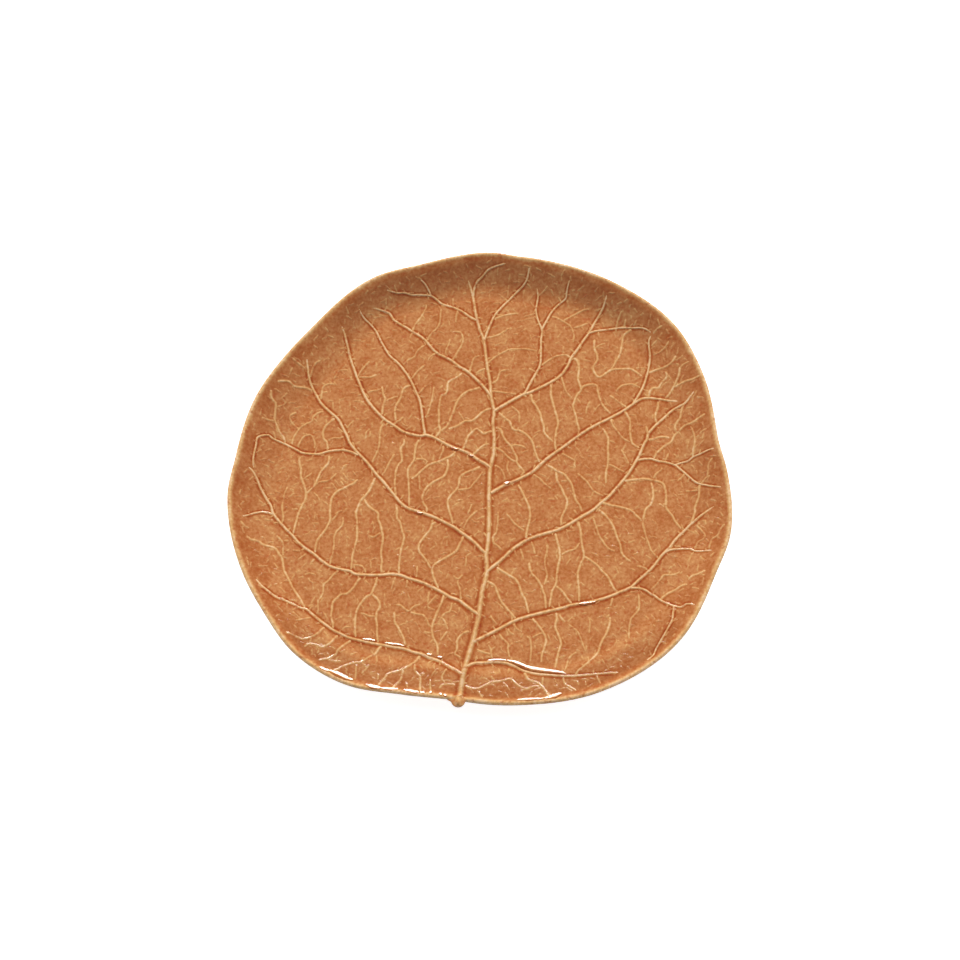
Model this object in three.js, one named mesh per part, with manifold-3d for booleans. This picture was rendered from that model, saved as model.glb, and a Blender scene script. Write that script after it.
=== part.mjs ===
// A salad plate in the shape of one broad leaf, in glazed stoneware.
// Millimetres, +Z up. The cut stem is at the front, towards -Y, and the leaf's tip is at the back.
// The origin lies on the table, under the middle of the plate.

import * as THREE from 'three';
import { mergeVertices } from 'three/addons/utils/BufferGeometryUtils.js';
import Module from 'manifold-3d';

// Slab: its size from edge to edge, and the soft rise of its rim from the floor's face to the lip.
// It is pressed thinner from the floor to the lip.
const LEAF_WIDTH = 220;
const LEAF_LENGTH = 217;
const SLAB_THICKNESS = 4.6;
const LIP_THICKNESS = 2.2;
const RIM_RUN = 21;
const RIM_RISE = 7;
const LIP_SLOPE_DEGREES = 29;

// Foot ring: a round coil under the floor, set back from where the rim starts to rise.
const FOOT_SETBACK = 19.5;
const FOOT_WIDTH = 5;
const FOOT_HEIGHT = 4;
const FOOT_BEVEL = 1;

// Stem: an oval stub on the lip, with its middle a little outside the leaf's edge.
const STEM_WIDTH = 6.6;
const STEM_HEIGHT = 4.6;
const STEM_DEPTH = 5.6;
const STEM_OVERHANG = 0.2;

// Veins: the width of the base and the height of the crest above the face, at a vein's start and at its end.
const MIDRIB_WIDTH = 4;
const MIDRIB_HEIGHT = 1.6;
const MIDRIB_END_WIDTH = 1.8;
const MIDRIB_END_HEIGHT = 0.9;
const VEIN_WIDTH = 2.8;
const VEIN_HEIGHT = 1.2;
const FORK_WIDTH = 2.1;
const FORK_HEIGHT = 1;
const VEIN_END_WIDTH = 1.4;
const VEIN_END_HEIGHT = 0.8;

// Slip between two pieces that are joined before the firing.
const SLIP_SEAM = 0.3;

// Fineness of the facets: counts, and the longest step along a vein.
const STEPS_ROUND_LEAF = 96;
const STEPS_ROUND_FOOT = 64;
const STEPS_UP_RISE = 6;
const STEPS_OVER_LIP = 6;
const STEPS_ROUND_STEM = 16;
const SIDES_OF_VEIN = 4;
const VEIN_STEP = 5;

// Half the distance over which the slope of the face is measured.
const SLOPE_PROBE = 0.25;

// Distance within which two vertices are one.
const SAME_VERTEX = 1e-3;

// Outline of the leaf: degrees round from +X, and reach from the middle in hundredths of half the width.
const MARGIN = [
  [0, 98.5], [9, 96.5], [25, 100], [40, 103], [56, 101.5], [80, 98.5], [88, 99], [104, 96.5], [117, 97.5],
  [135, 94], [146, 94], [160, 96], [176, 97.5], [186, 100.5], [204, 102.5], [216, 103.5], [227, 105.5],
  [240, 104], [252, 99], [264, 97], [280, 100], [296, 104], [316, 106], [334, 102.5], [345, 102.5],
];

// Routes of the veins, in hundredths of half the leaf's width and length from its middle.
// Each vein's first route is its main one, and the others fork off a point of an earlier one.
const MIDRIB = [
  [[-8, -96], [-7, -88], [-3, -71], [2, -44], [3, -18], [5, 17], [5, 36], [2, 63], [-3, 83], [-6, 92]],
  [[-3, 83], [-1, 89], [3, 93], [9, 95]],
];
const LEFT_VEINS = [
  [[[-7, -84], [-15, -79], [-29, -74], [-48, -69], [-61, -64], [-68, -58], [-79, -53], [-88, -47]]],
  [
    [[-1, -59], [-16, -49], [-32, -43], [-50, -41], [-65, -34], [-82, -16], [-88, -3]],
    [[-82, -16], [-87, -15], [-93, -19]],
  ],
  [
    [[3, -32], [-11, -21], [-29, -13], [-49, 12], [-57, 27], [-68, 40], [-70, 53]],
    [[-49, 12], [-58, 13], [-72, 12], [-85, 18]],
  ],
  [
    [[4, 4], [-10, 14], [-22, 19], [-35, 24], [-46, 36], [-52, 54], [-57, 68]],
    [[-22, 19], [-24, 31], [-32, 51], [-43, 68], [-48, 75]],
  ],
  [[[5, 38], [-11, 53], [-27, 67], [-38, 75]]],
  [
    [[0, 72], [-11, 78], [-20, 82], [-36, 84]],
    [[-20, 82], [-24, 88]],
  ],
];
const RIGHT_VEINS = [
  [[[-5, -80], [5, -79], [17, -82], [30, -86], [52, -86]]],
  [
    [[-3, -71], [11, -64], [26, -58], [47, -53], [60, -47], [73, -33], [89, -16], [94, -14]],
    [[60, -47], [71, -53], [79, -58]],
    [[71, -53], [74, -62], [67, -78]],
    [[73, -33], [82, -31], [91, -33]],
  ],
  [
    [[3, -40], [12, -32], [25, -25], [47, -13], [57, -2], [64, 8], [68, 20], [80, 32], [88, 37]],
    [[64, 8], [70, 9], [78, 6], [86, -3], [93, -6]],
    [[78, 6], [85, 9], [92, 10]],
  ],
  [
    [[4, -6], [15, -1], [26, 7], [36, 16], [53, 28], [62, 34], [74, 36]],
    [[62, 34], [67, 41], [70, 53], [69, 61]],
  ],
  [
    [[5, 30], [18, 39], [31, 45], [37, 54], [45, 67], [53, 81]],
    [[45, 67], [52, 68], [62, 68]],
    [[18, 39], [24, 50], [26, 68], [24, 82]],
    [[26, 68], [30, 76], [36, 85]],
  ],
  [[[2, 63], [7, 75], [17, 86]]],
];

const wasm = await Module();
wasm.setup();

const GLAZE = new THREE.MeshStandardMaterial({ color: 0xc47f4c, roughness: 0.15, metalness: 0 });
const THIN_GLAZE = new THREE.MeshStandardMaterial({ color: 0xdeaf78, roughness: 0.15, metalness: 0 });
const BARE_CLAY = new THREE.MeshStandardMaterial({ color: 0xcbb592, roughness: 0.85, metalness: 0 });

// Closed solid of a geometry, for cutting and joining.
function toSolid(geometry) {
  geometry.deleteAttribute('normal');
  geometry.deleteAttribute('uv');
  const merged = mergeVertices(geometry, SAME_VERTEX);
  return new wasm.Manifold(new wasm.Mesh({
    numProp: 3,
    vertProperties: new Float32Array(merged.attributes.position.array),
    triVerts: new Uint32Array(merged.index.array),
  }));
}

// Geometry of a solid, with normals for shading.
function toGeometry(solid) {
  const mesh = solid.getMesh();
  const geometry = new THREE.BufferGeometry();
  geometry.setAttribute('position', new THREE.BufferAttribute(mesh.vertProperties, 3));
  geometry.setIndex(new THREE.BufferAttribute(mesh.triVerts, 1));
  geometry.computeVertexNormals();
  return geometry;
}

// Reach of the outline at any angle: a smooth closed curve through the margin's points.
const reachAt = new THREE.CubicInterpolant(
  [...MARGIN.map(([degrees]) => degrees), 360],
  [...MARGIN.map(([, reach]) => reach), MARGIN[0][1]],
  1,
);
reachAt.settings = { endingStart: THREE.WrapAroundEnding, endingEnd: THREE.WrapAroundEnding };

function marginPoint(angle) {
  const degrees = THREE.MathUtils.euclideanModulo(THREE.MathUtils.radToDeg(angle), 360);
  const [reach] = reachAt.evaluate(degrees);
  return new THREE.Vector2(Math.cos(angle), Math.sin(angle)).multiplyScalar(reach);
}

// Stretch that gives the outline the leaf's width and length.
const marginBox = new THREE.Box2();
for (let step = 0; step < STEPS_ROUND_LEAF; step++) {
  marginBox.expandByPoint(marginPoint((2 * Math.PI * step) / STEPS_ROUND_LEAF));
}
const stretch = new THREE.Vector2(LEAF_WIDTH, LEAF_LENGTH).divide(marginBox.getSize(new THREE.Vector2()));

// Point of the leaf's edge on the ray at an angle of the outline.
function edgePoint(angle) {
  return marginPoint(angle).multiply(stretch);
}

// Point of the plan at a place given in hundredths of half the leaf's width and length.
function planPoint([u, v]) {
  return new THREE.Vector2(((u / 100) * LEAF_WIDTH) / 2, ((v / 100) * LEAF_LENGTH) / 2);
}

// Angle of the outline on the ray through a point of the plan.
function outlineAngle({ x, y }) {
  return Math.atan2(y / stretch.y, x / stretch.x);
}

// Distance of a point of the plan in from the leaf's edge, along its ray.
function insetOf(point) {
  return edgePoint(outlineAngle(point)).length() - point.length();
}

// Middle line of the slab's rise, as inset from the leaf's edge and height above the table.
const lipRadius = LIP_THICKNESS / 2;
const riseFoot = new THREE.Vector2(RIM_RUN, FOOT_HEIGHT + SLAB_THICKNESS / 2);
const lipMiddle = new THREE.Vector2(lipRadius, FOOT_HEIGHT + SLAB_THICKNESS + RIM_RISE - lipRadius);
const lipRun = (lipMiddle.y - riseFoot.y) / Math.tan(THREE.MathUtils.degToRad(LIP_SLOPE_DEGREES));
const riseBend = new THREE.Vector2(lipMiddle.x + lipRun, riseFoot.y);
const rise = new THREE.QuadraticBezierCurve(riseFoot, riseBend, lipMiddle);

// Section of the slab outwards along its back, over the lip and inwards along its face, as inset and height.
// A growth is laid on all over.
function slabSection(growth) {
  const back = [];
  const face = [];
  for (let step = 0; step <= STEPS_UP_RISE; step++) {
    const share = step / STEPS_UP_RISE;
    const middle = rise.getPoint(share);
    const along = rise.getTangent(share);
    const halfThickness = THREE.MathUtils.lerp(SLAB_THICKNESS / 2, lipRadius, share) + growth;
    const across = new THREE.Vector2(along.y, -along.x).multiplyScalar(halfThickness);
    back.push(middle.clone().sub(across));
    face.push(middle.clone().add(across));
  }
  const lip = [];
  const along = rise.getTangent(1).multiplyScalar(lipRadius + growth);
  const across = new THREE.Vector2(along.y, -along.x);
  for (let step = 1; step < STEPS_OVER_LIP; step++) {
    const turn = (Math.PI * step) / STEPS_OVER_LIP;
    const point = lipMiddle.clone().addScaledVector(across, -Math.cos(turn));
    lip.push(point.addScaledVector(along, Math.sin(turn)));
  }
  return [...back, ...lip, ...face.reverse()];
}

// Slab with a growth all over: turned as a round plate, then drawn out to the leaf's outline.
// The rim keeps its section all the way round.
const roundRadius = Math.min(LEAF_WIDTH, LEAF_LENGTH) / 2;
function slabGeometry(growth) {
  const profile = slabSection(growth).map(({ x, y }) => new THREE.Vector2(roundRadius - x, y));
  const bottom = new THREE.Vector2(0, profile[0].y);
  const top = new THREE.Vector2(0, profile[profile.length - 1].y);
  const geometry = new THREE.LatheGeometry([bottom, ...profile, top], STEPS_ROUND_LEAF).rotateX(Math.PI / 2);
  const position = geometry.attributes.position;
  for (let vertex = 0; vertex < position.count; vertex++) {
    const round = new THREE.Vector2(position.getX(vertex), position.getY(vertex));
    const inset = roundRadius - round.length();
    if (inset < roundRadius) {
      const edge = edgePoint(round.angle());
      const point = edge.clone().setLength(edge.length() - inset);
      position.setXY(vertex, point.x, point.y);
    }
  }
  return geometry;
}

function footRingGeometry() {
  const outer = roundRadius - RIM_RUN - FOOT_SETBACK;
  const inner = outer - FOOT_WIDTH;
  const profile = [
    new THREE.Vector2(inner, FOOT_HEIGHT),
    new THREE.Vector2(inner, FOOT_BEVEL),
    new THREE.Vector2(inner + FOOT_BEVEL, 0),
    new THREE.Vector2(outer - FOOT_BEVEL, 0),
    new THREE.Vector2(outer, FOOT_BEVEL),
    new THREE.Vector2(outer, FOOT_HEIGHT),
    new THREE.Vector2(inner, FOOT_HEIGHT),
  ];
  return new THREE.LatheGeometry(profile, STEPS_ROUND_FOOT).rotateX(Math.PI / 2);
}

// Height and normal of the slab's face over a point of the plan, from the floor to the tip of the lip.
const faceLine = slabSection(0).slice(STEPS_UP_RISE + STEPS_OVER_LIP / 2).reverse();
const lipTip = faceLine[faceLine.length - 1];
function faceHeight(point) {
  const inset = Math.max(insetOf(point), lipTip.x);
  const next = faceLine.findIndex(({ x }) => x <= inset);
  if (next === 0) {
    return faceLine[0].y;
  }
  const low = faceLine[next - 1];
  const high = faceLine[next];
  return THREE.MathUtils.mapLinear(inset, low.x, high.x, low.y, high.y);
}

function faceSlope(point, probe) {
  const rises = faceHeight(point.clone().add(probe)) - faceHeight(point.clone().sub(probe));
  return rises / (2 * probe.length());
}

function faceNormal(point) {
  const slopeX = faceSlope(point, new THREE.Vector2(SLOPE_PROBE, 0));
  const slopeY = faceSlope(point, new THREE.Vector2(0, SLOPE_PROBE));
  return new THREE.Vector3(-slopeX, -slopeY, 1).normalize();
}

// Half-round bar laid along a route on the face, tapering from start to end.
// Its base lies above the face by a given height.
function barGeometry(route, start, end, base) {
  const points = route.map((place) => new THREE.Vector3(...planPoint(place), 0));
  const curve = new THREE.CatmullRomCurve3(points, false, 'centripetal');
  const steps = Math.ceil(curve.getLength() / VEIN_STEP);
  const positions = [];
  for (let step = 0; step <= steps; step++) {
    const along = step / steps;
    const { x, y } = curve.getPointAt(along);
    const plan = new THREE.Vector2(x, y);
    const middle = new THREE.Vector3(x, y, faceHeight(plan));
    const normal = faceNormal(plan);
    const side = normal.clone().cross(curve.getTangentAt(along)).normalize();
    const halfWidth = THREE.MathUtils.lerp(start.width, end.width, along) / 2;
    const crest = THREE.MathUtils.lerp(start.height, end.height, along) - base;
    for (let corner = 0; corner <= SIDES_OF_VEIN; corner++) {
      const turn = (Math.PI * corner) / SIDES_OF_VEIN;
      const point = middle.clone().addScaledVector(side, halfWidth * Math.cos(turn));
      positions.push(...point.addScaledVector(normal, base + crest * Math.sin(turn)));
    }
  }
  const corners = SIDES_OF_VEIN + 1;
  const last = steps * corners;
  const indices = [];
  for (let step = 0; step < steps; step++) {
    for (let corner = 0; corner < corners; corner++) {
      const a = step * corners + corner;
      const b = step * corners + ((corner + 1) % corners);
      indices.push(a, b, a + corners, b, b + corners, a + corners);
    }
  }
  for (let corner = 1; corner < SIDES_OF_VEIN; corner++) {
    indices.push(0, corner + 1, corner);
    indices.push(last, last + corner, last + corner + 1);
  }
  const geometry = new THREE.BufferGeometry();
  geometry.setAttribute('position', new THREE.Float32BufferAttribute(positions, 3));
  geometry.setIndex(indices);
  return geometry;
}

const midribStart = { width: MIDRIB_WIDTH, height: MIDRIB_HEIGHT };
const midribEnd = { width: MIDRIB_END_WIDTH, height: MIDRIB_END_HEIGHT };
const veinStart = { width: VEIN_WIDTH, height: VEIN_HEIGHT };
const forkStart = { width: FORK_WIDTH, height: FORK_HEIGHT };
const veinEnd = { width: VEIN_END_WIDTH, height: VEIN_END_HEIGHT };

// The same section with room for a seam of slip all round it.
function withSeam({ width, height }) {
  return { width: width + 2 * SLIP_SEAM, height: height + SLIP_SEAM };
}

const slabWithSeam = toSolid(slabGeometry(SLIP_SEAM));
const midribWithSeam = toSolid(
  barGeometry(MIDRIB[0], withSeam(midribStart), withSeam(midribEnd), -SLIP_SEAM),
);

// Vein with its forks, joined into one solid and fitted to the slab's face.
function veinSolid([mainRoute, ...forks], start, end) {
  let solid = toSolid(barGeometry(mainRoute, start, end, 0));
  for (const fork of forks) {
    solid = solid.add(toSolid(barGeometry(fork, forkStart, veinEnd, 0)));
  }
  return solid.subtract(slabWithSeam);
}

// Side vein cut off at the midrib, without any scrap of its start on the midrib's far side.
function cutAtMidrib(solid) {
  const pieces = solid.subtract(midribWithSeam).decompose();
  return pieces.reduce((largest, piece) => (piece.volume() > largest.volume() ? piece : largest));
}

// Stub of the stem: an oval knob of clay pressed over the lip where the midrib ends.
function stemSolid() {
  const edge = edgePoint(outlineAngle(planPoint(MIDRIB[0][0])));
  const middle = edge.clone().setLength(edge.length() + STEM_OVERHANG);
  const knob = new THREE.SphereGeometry(1 / 2, STEPS_ROUND_STEM, STEPS_ROUND_STEM / 2);
  knob.scale(STEM_WIDTH, STEM_DEPTH, STEM_HEIGHT);
  knob.translate(middle.x, middle.y, lipMiddle.y);
  return toSolid(knob).subtract(slabWithSeam).subtract(midribWithSeam);
}

const plate = new THREE.Group();

function addPiece(name, geometry, material) {
  const mesh = new THREE.Mesh(geometry, material);
  mesh.name = name;
  plate.add(mesh);
}

addPiece('leaf_body', slabGeometry(0), GLAZE);
addPiece('foot_ring', footRingGeometry(), BARE_CLAY);
addPiece('stem_stub', toGeometry(stemSolid()), THIN_GLAZE);
addPiece('midrib', toGeometry(veinSolid(MIDRIB, midribStart, midribEnd)), THIN_GLAZE);
for (const [side, veins] of [['left', LEFT_VEINS], ['right', RIGHT_VEINS]]) {
  veins.forEach((routes, index) => {
    const solid = cutAtMidrib(veinSolid(routes, veinStart, veinEnd));
    addPiece(`vein_${side}_${index + 1}`, toGeometry(solid), THIN_GLAZE);
  });
}

// The middle of the plate's box, stem included, comes over the origin.
const middle = new THREE.Box3().setFromObject(plate).getCenter(new THREE.Vector3());
plate.position.set(-middle.x, -middle.y, 0);

export default plate;
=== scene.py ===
import math

import bpy
from mathutils import Matrix, Vector
from mathutils.bvhtree import BVHTree


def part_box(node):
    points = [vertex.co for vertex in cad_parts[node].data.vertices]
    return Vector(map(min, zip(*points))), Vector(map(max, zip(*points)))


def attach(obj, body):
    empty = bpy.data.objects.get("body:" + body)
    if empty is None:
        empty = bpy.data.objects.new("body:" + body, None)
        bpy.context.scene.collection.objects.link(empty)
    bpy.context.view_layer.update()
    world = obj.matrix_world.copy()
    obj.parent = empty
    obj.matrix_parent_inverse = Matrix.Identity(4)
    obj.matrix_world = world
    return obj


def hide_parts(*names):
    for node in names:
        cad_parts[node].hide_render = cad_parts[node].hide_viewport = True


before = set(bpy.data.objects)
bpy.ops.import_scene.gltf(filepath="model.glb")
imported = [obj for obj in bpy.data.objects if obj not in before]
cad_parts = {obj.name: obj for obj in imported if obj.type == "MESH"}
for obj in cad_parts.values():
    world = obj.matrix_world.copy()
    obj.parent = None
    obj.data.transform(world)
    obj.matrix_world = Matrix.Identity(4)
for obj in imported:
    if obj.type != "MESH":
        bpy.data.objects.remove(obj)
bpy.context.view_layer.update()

# Camera: a long lens in front of the plate, looking down at it from well above the table.
# Its aim lies a little in front of the plate's middle, just under the height of the lip.
MM = 0.001
PHOTO_SIDE = 960
CAMERA_ELEVATION = math.radians(66)
CAMERA_DISTANCE = 1166.4 * MM
CAMERA_AIM = Vector((0.2, -3.8, 13.7)) * MM
LENS, SENSOR = 100, 36
scene = bpy.context.scene
camera = bpy.data.objects.new("camera", bpy.data.cameras.new("camera"))
camera.data.lens = LENS
camera.data.sensor_width = SENSOR
camera.rotation_euler = (math.pi / 2 - CAMERA_ELEVATION, 0, 0)
to_camera = Vector((0, -math.cos(CAMERA_ELEVATION), math.sin(CAMERA_ELEVATION)))
camera.location = CAMERA_AIM + to_camera * CAMERA_DISTANCE
scene.collection.objects.link(camera)
scene.camera = camera

# Leaf body: a slab of stoneware, pressed over a mould into a shallow dish and cut to the leaf's wavy
# outline. The floor is flat, the rim rises in one soft curve and thins, and the lip is rounded by sponging.
LEAF_MARGIN = [
    (0, 98.5), (9, 96.5), (25, 100), (40, 103), (56, 101.5), (80, 98.5), (88, 99), (104, 96.5),
    (117, 97.5), (135, 94), (146, 94), (160, 96), (176, 97.5), (186, 100.5), (204, 102.5),
    (216, 103.5), (227, 105.5), (240, 104), (252, 99), (264, 97), (280, 100), (296, 104),
    (316, 106), (334, 102.5), (345, 102.5),
]
STEPS_ROUND = 600
SLAB_THICKNESS = 4.6 * MM
LIP_THICKNESS = 2.2 * MM
LIP_BEAD = 0.1 * MM
BEAD_START = 0.92
RIM_RUN = 21 * MM
LIP_SLOPE = math.radians(29)
FLOOR_RING = 1.25 * MM
RISE_STEPS = 36
LIP_STEPS = 14
BACK_STEPS = 9
BACK_RING = 9 * MM
SEAM_REACH = 0.02 * MM
UNEVEN_HEIGHT = 0.16 * MM
UNEVEN_LENGTH = 16 * MM
UNEVEN_TOP = 0.8
SAG_DEPTH, SAG_REACH = 1.5 * MM, 20 * MM
SAG_PLACE = Vector((1, -115.5, 0)) * MM
LIP_PALE = 0.8
LIP_BAND = (1.0 * MM, 3.0 * MM)
SLOPE_POOL = 0.2
SLOPE_BAND = (5 * MM, 12 * MM)
leaf_low, leaf_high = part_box("leaf_body")


def smooth_reach(degrees):
    """Reach of the leaf's edge at an angle: a smooth closed curve through the margin's points."""
    count = len(LEAF_MARGIN)
    after = next((i for i, (angle, _) in enumerate(LEAF_MARGIN) if angle > degrees), count)
    angles, reaches = [], []
    for i in range(after - 2, after + 2):
        turns, place = divmod(i, count)
        angles.append(LEAF_MARGIN[place][0] + 360 * turns)
        reaches.append(LEAF_MARGIN[place][1])
    span = angles[2] - angles[1]
    part = (degrees - angles[1]) / span
    slope_1 = (reaches[2] - reaches[0]) / (angles[2] - angles[0]) * span
    slope_2 = (reaches[3] - reaches[1]) / (angles[3] - angles[1]) * span
    square, cube = part * part, part ** 3
    return (
        (2 * cube - 3 * square + 1) * reaches[1] + (cube - 2 * square + part) * slope_1
        + (3 * square - 2 * cube) * reaches[2] + (cube - square) * slope_2
    )


def polyline(name, runs, closed=False, **attributes):
    """Mesh of plain lines through the given points, with a number for each point by attribute."""
    points = [point for run in runs for point in run]
    edges, first = [], 0
    for run in runs:
        edges += [(first + i, first + i + 1) for i in range(len(run) - 1)]
        if closed:
            edges.append((first + len(run) - 1, first))
        first += len(run)
    mesh = bpy.data.meshes.new(name)
    mesh.from_pydata(points, edges, [])
    for key, numbers in attributes.items():
        mesh.attributes.new(key, "FLOAT", "POINT").data.foreach_set("value", numbers)
    lines = bpy.data.objects.new(name, mesh)
    scene.collection.objects.link(lines)
    return lines


edge = []
for step in range(STEPS_ROUND):
    angle = 2 * math.pi * step / STEPS_ROUND
    edge.append(Vector((math.cos(angle), math.sin(angle), 0)) * smooth_reach(math.degrees(angle)))
edge_low = Vector((min(p.x for p in edge), min(p.y for p in edge), 0))
edge_high = Vector((max(p.x for p in edge), max(p.y for p in edge), 0))
stretch = Vector([(leaf_high[i] - leaf_low[i]) / (edge_high[i] - edge_low[i]) for i in (0, 1)])
leaf_middle = Vector([leaf_low[i] - edge_low[i] * stretch[i] for i in (0, 1)])
outline = polyline("leaf_outline", [[(p.x * stretch.x, p.y * stretch.y, 0) for p in edge]], closed=True)

half_slab = SLAB_THICKNESS / 2
lip_radius = LIP_THICKNESS / 2
round_radius = (leaf_high.y - leaf_low.y) / 2
floor_radius = round_radius - RIM_RUN
foot = Vector((RIM_RUN, leaf_low.z + half_slab))
lip = Vector((lip_radius, leaf_high.z - lip_radius))
bend = Vector((lip.x + (lip.y - foot.y) / math.tan(LIP_SLOPE), foot.y))


def rise_point(along, side):
    """Point on a face of the rim's rise, as inset and height: the slab thins to a beaded lip."""
    middle = foot * (1 - along) ** 2 + bend * 2 * along * (1 - along) + lip * along ** 2
    ahead = ((bend - foot) * (1 - along) + (lip - bend) * along).normalized()
    bead = LIP_BEAD * max(0, (along - BEAD_START) / (1 - BEAD_START)) ** 2
    half = half_slab + (lip_radius - LIP_BEAD - half_slab) * along + bead
    return middle + Vector((ahead.y, -ahead.x)) * half * side


def smooth_step(value, low, high):
    """0 below the low value, 1 above the high one, and a soft rise between them."""
    part = min(1, max(0, (value - low) / (high - low)))
    return part * part * (3 - 2 * part)


section = []
floor_rings = round(floor_radius / FLOOR_RING)
for ring in range(floor_rings):
    section.append((floor_radius * ring / floor_rings, 0, foot.y + half_slab))
for step in range(RISE_STEPS + 1):
    inset, height = rise_point(math.sin(math.pi / 2 * step / RISE_STEPS), 1)
    section.append((round_radius - inset, 0, height))
for step in range(1, LIP_STEPS):
    lean = LIP_SLOPE - math.pi * step / LIP_STEPS
    inset, height = lip + Vector((math.sin(lean), math.cos(lean))) * lip_radius
    section.append((round_radius - inset, 0, height))
for step in range(BACK_STEPS + 1):
    inset, height = rise_point(1 - step / BACK_STEPS, -1)
    section.append((round_radius - inset, 0, height))
back_rings = round(floor_radius / BACK_RING)
for ring in range(back_rings - 1, -1, -1):
    section.append((floor_radius * ring / back_rings, 0, leaf_low.z))
section_relief = []
for radius, _, _ in section:
    off_lip = smooth_step(round_radius - radius, *LIP_BAND)
    pooled = off_lip * (1 - smooth_step(round_radius - radius, *SLOPE_BAND))
    section_relief.append(LIP_PALE * (1 - off_lip) - SLOPE_POOL * pooled)
profile = polyline("slab_section", [section], relief=section_relief)


def add_node(tree, kind, links=None, **settings):
    """Adds a node and fills its inputs, by name or number. A node given for one lends its first output."""
    node = tree.nodes.new(kind)
    for name, value in settings.items():
        setattr(node, name, value)
    for name, value in (links or {}).items():
        if isinstance(value, bpy.types.Node):
            value = value.outputs[0]
        if isinstance(value, bpy.types.NodeSocket):
            tree.links.new(value, node.inputs[name])
        else:
            node.inputs[name].default_value = value
    return node


def new_tree(name, sizes):
    """Geometry Nodes tree with its named inputs, and the node that gives them."""
    tree = bpy.data.node_groups.new(name, "GeometryNodeTree")
    tree.interface.new_socket("Geometry", in_out="INPUT", socket_type="NodeSocketGeometry")
    tree.interface.new_socket("Geometry", in_out="OUTPUT", socket_type="NodeSocketGeometry")
    for size, kind in sizes.items():
        tree.interface.new_socket(size, in_out="INPUT", socket_type="NodeSocket" + kind)
    return tree, tree.nodes.new("NodeGroupInput").outputs


def end_tree(tree, geometry, material):
    """Ends a tree with a smooth, real mesh that carries its material."""
    smooth = add_node(tree, "GeometryNodeSetShadeSmooth", {"Geometry": geometry})
    real = add_node(tree, "GeometryNodeRealizeInstances", {"Geometry": smooth})
    finished = add_node(tree, "GeometryNodeSetMaterial", {"Geometry": real, "Material": material})
    add_node(tree, "NodeGroupOutput", {0: finished})


def grown(tree, source, name, **sizes):
    """Plain mesh object that the tree makes of a source object, which is removed."""
    modifier = source.modifiers.new(tree.name, "NODES")
    modifier.node_group = tree
    for item in tree.interface.items_tree:
        key = item.name.lower().replace(" ", "_")
        if item.in_out == "INPUT" and key in sizes:
            modifier[item.identifier] = sizes[key]
    depsgraph = bpy.context.evaluated_depsgraph_get()
    mesh = bpy.data.meshes.new_from_object(
        source.evaluated_get(depsgraph), preserve_all_data_layers=True, depsgraph=depsgraph
    )
    mesh.name = name
    bpy.data.objects.remove(source)
    piece = bpy.data.objects.new(name, mesh)
    scene.collection.objects.link(piece)
    return piece


slab_tree, slab = new_tree("pressed slab", {
    "Section": "Object", "Section Points": "Int", "Steps Round": "Int", "Rim Run": "Float",
    "Floor Radius": "Float", "Middle": "Vector", "Uneven Height": "Float", "Uneven Length": "Float",
    "Uneven Top": "Float", "Sag Place": "Vector", "Sag Depth": "Float", "Sag Reach": "Float",
    "Seam": "Float", "Glaze": "Material",
})
margin = add_node(slab_tree, "GeometryNodeMeshToCurve", {0: slab["Geometry"]})
cut = add_node(slab_tree, "GeometryNodeObjectInfo", {"Object": slab["Section"]})
columns = add_node(slab_tree, "ShaderNodeMath", {0: slab["Steps Round"], 1: 1.0}, operation="ADD")
grid = add_node(slab_tree, "GeometryNodeMeshGrid", {
    "Vertices X": columns, "Vertices Y": slab["Section Points"],
})
position = add_node(slab_tree, "GeometryNodeInputPosition")
grid_place = add_node(slab_tree, "ShaderNodeVectorMath", {0: position, 1: (0.5, 0.5, 0)})
grid_place = add_node(slab_tree, "ShaderNodeSeparateXYZ", {0: grid_place})
edge_at = add_node(slab_tree, "GeometryNodeSampleCurve", {
    "Curves": margin, "Factor": grid_place.outputs["X"],
}, use_all_curves=True)
last = add_node(slab_tree, "ShaderNodeMath", {0: slab["Section Points"], 1: 1.0}, operation="SUBTRACT")
row = add_node(slab_tree, "ShaderNodeMath", {
    0: grid_place.outputs["Y"], 1: last,
}, operation="MULTIPLY")
row = add_node(slab_tree, "ShaderNodeMath", {0: row}, operation="ROUND")
cut_at = add_node(slab_tree, "GeometryNodeSampleIndex", {
    "Geometry": cut.outputs["Geometry"], "Value": position, "Index": row,
}, data_type="FLOAT_VECTOR")
turned = add_node(slab_tree, "ShaderNodeSeparateXYZ", {0: cut_at})
relief = add_node(slab_tree, "GeometryNodeInputNamedAttribute", {"Name": "relief"})
relief_at = add_node(slab_tree, "GeometryNodeSampleIndex", {
    "Geometry": cut.outputs["Geometry"], "Value": relief, "Index": row,
})
coated = add_node(slab_tree, "GeometryNodeStoreNamedAttribute", {
    "Geometry": grid.outputs["Mesh"], "Name": "relief", "Value": relief_at,
})
ray = add_node(slab_tree, "ShaderNodeVectorMath", {0: edge_at.outputs["Position"]}, operation="NORMALIZE")
ray_length = add_node(slab_tree, "ShaderNodeVectorMath", {
    0: edge_at.outputs["Position"],
}, operation="LENGTH")
floor_length = add_node(slab_tree, "ShaderNodeMath", {
    0: ray_length.outputs["Value"], 1: slab["Rim Run"],
}, operation="SUBTRACT")
share = add_node(slab_tree, "ShaderNodeMath", {
    0: turned.outputs["X"], 1: slab["Floor Radius"],
}, operation="DIVIDE")
share = add_node(slab_tree, "ShaderNodeMath", {0: share, 1: 1.0}, operation="MINIMUM")
beyond = add_node(slab_tree, "ShaderNodeMath", {
    0: turned.outputs["X"], 1: slab["Floor Radius"],
}, operation="SUBTRACT")
beyond = add_node(slab_tree, "ShaderNodeMath", {0: beyond, 1: 0.0}, operation="MAXIMUM")
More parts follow.
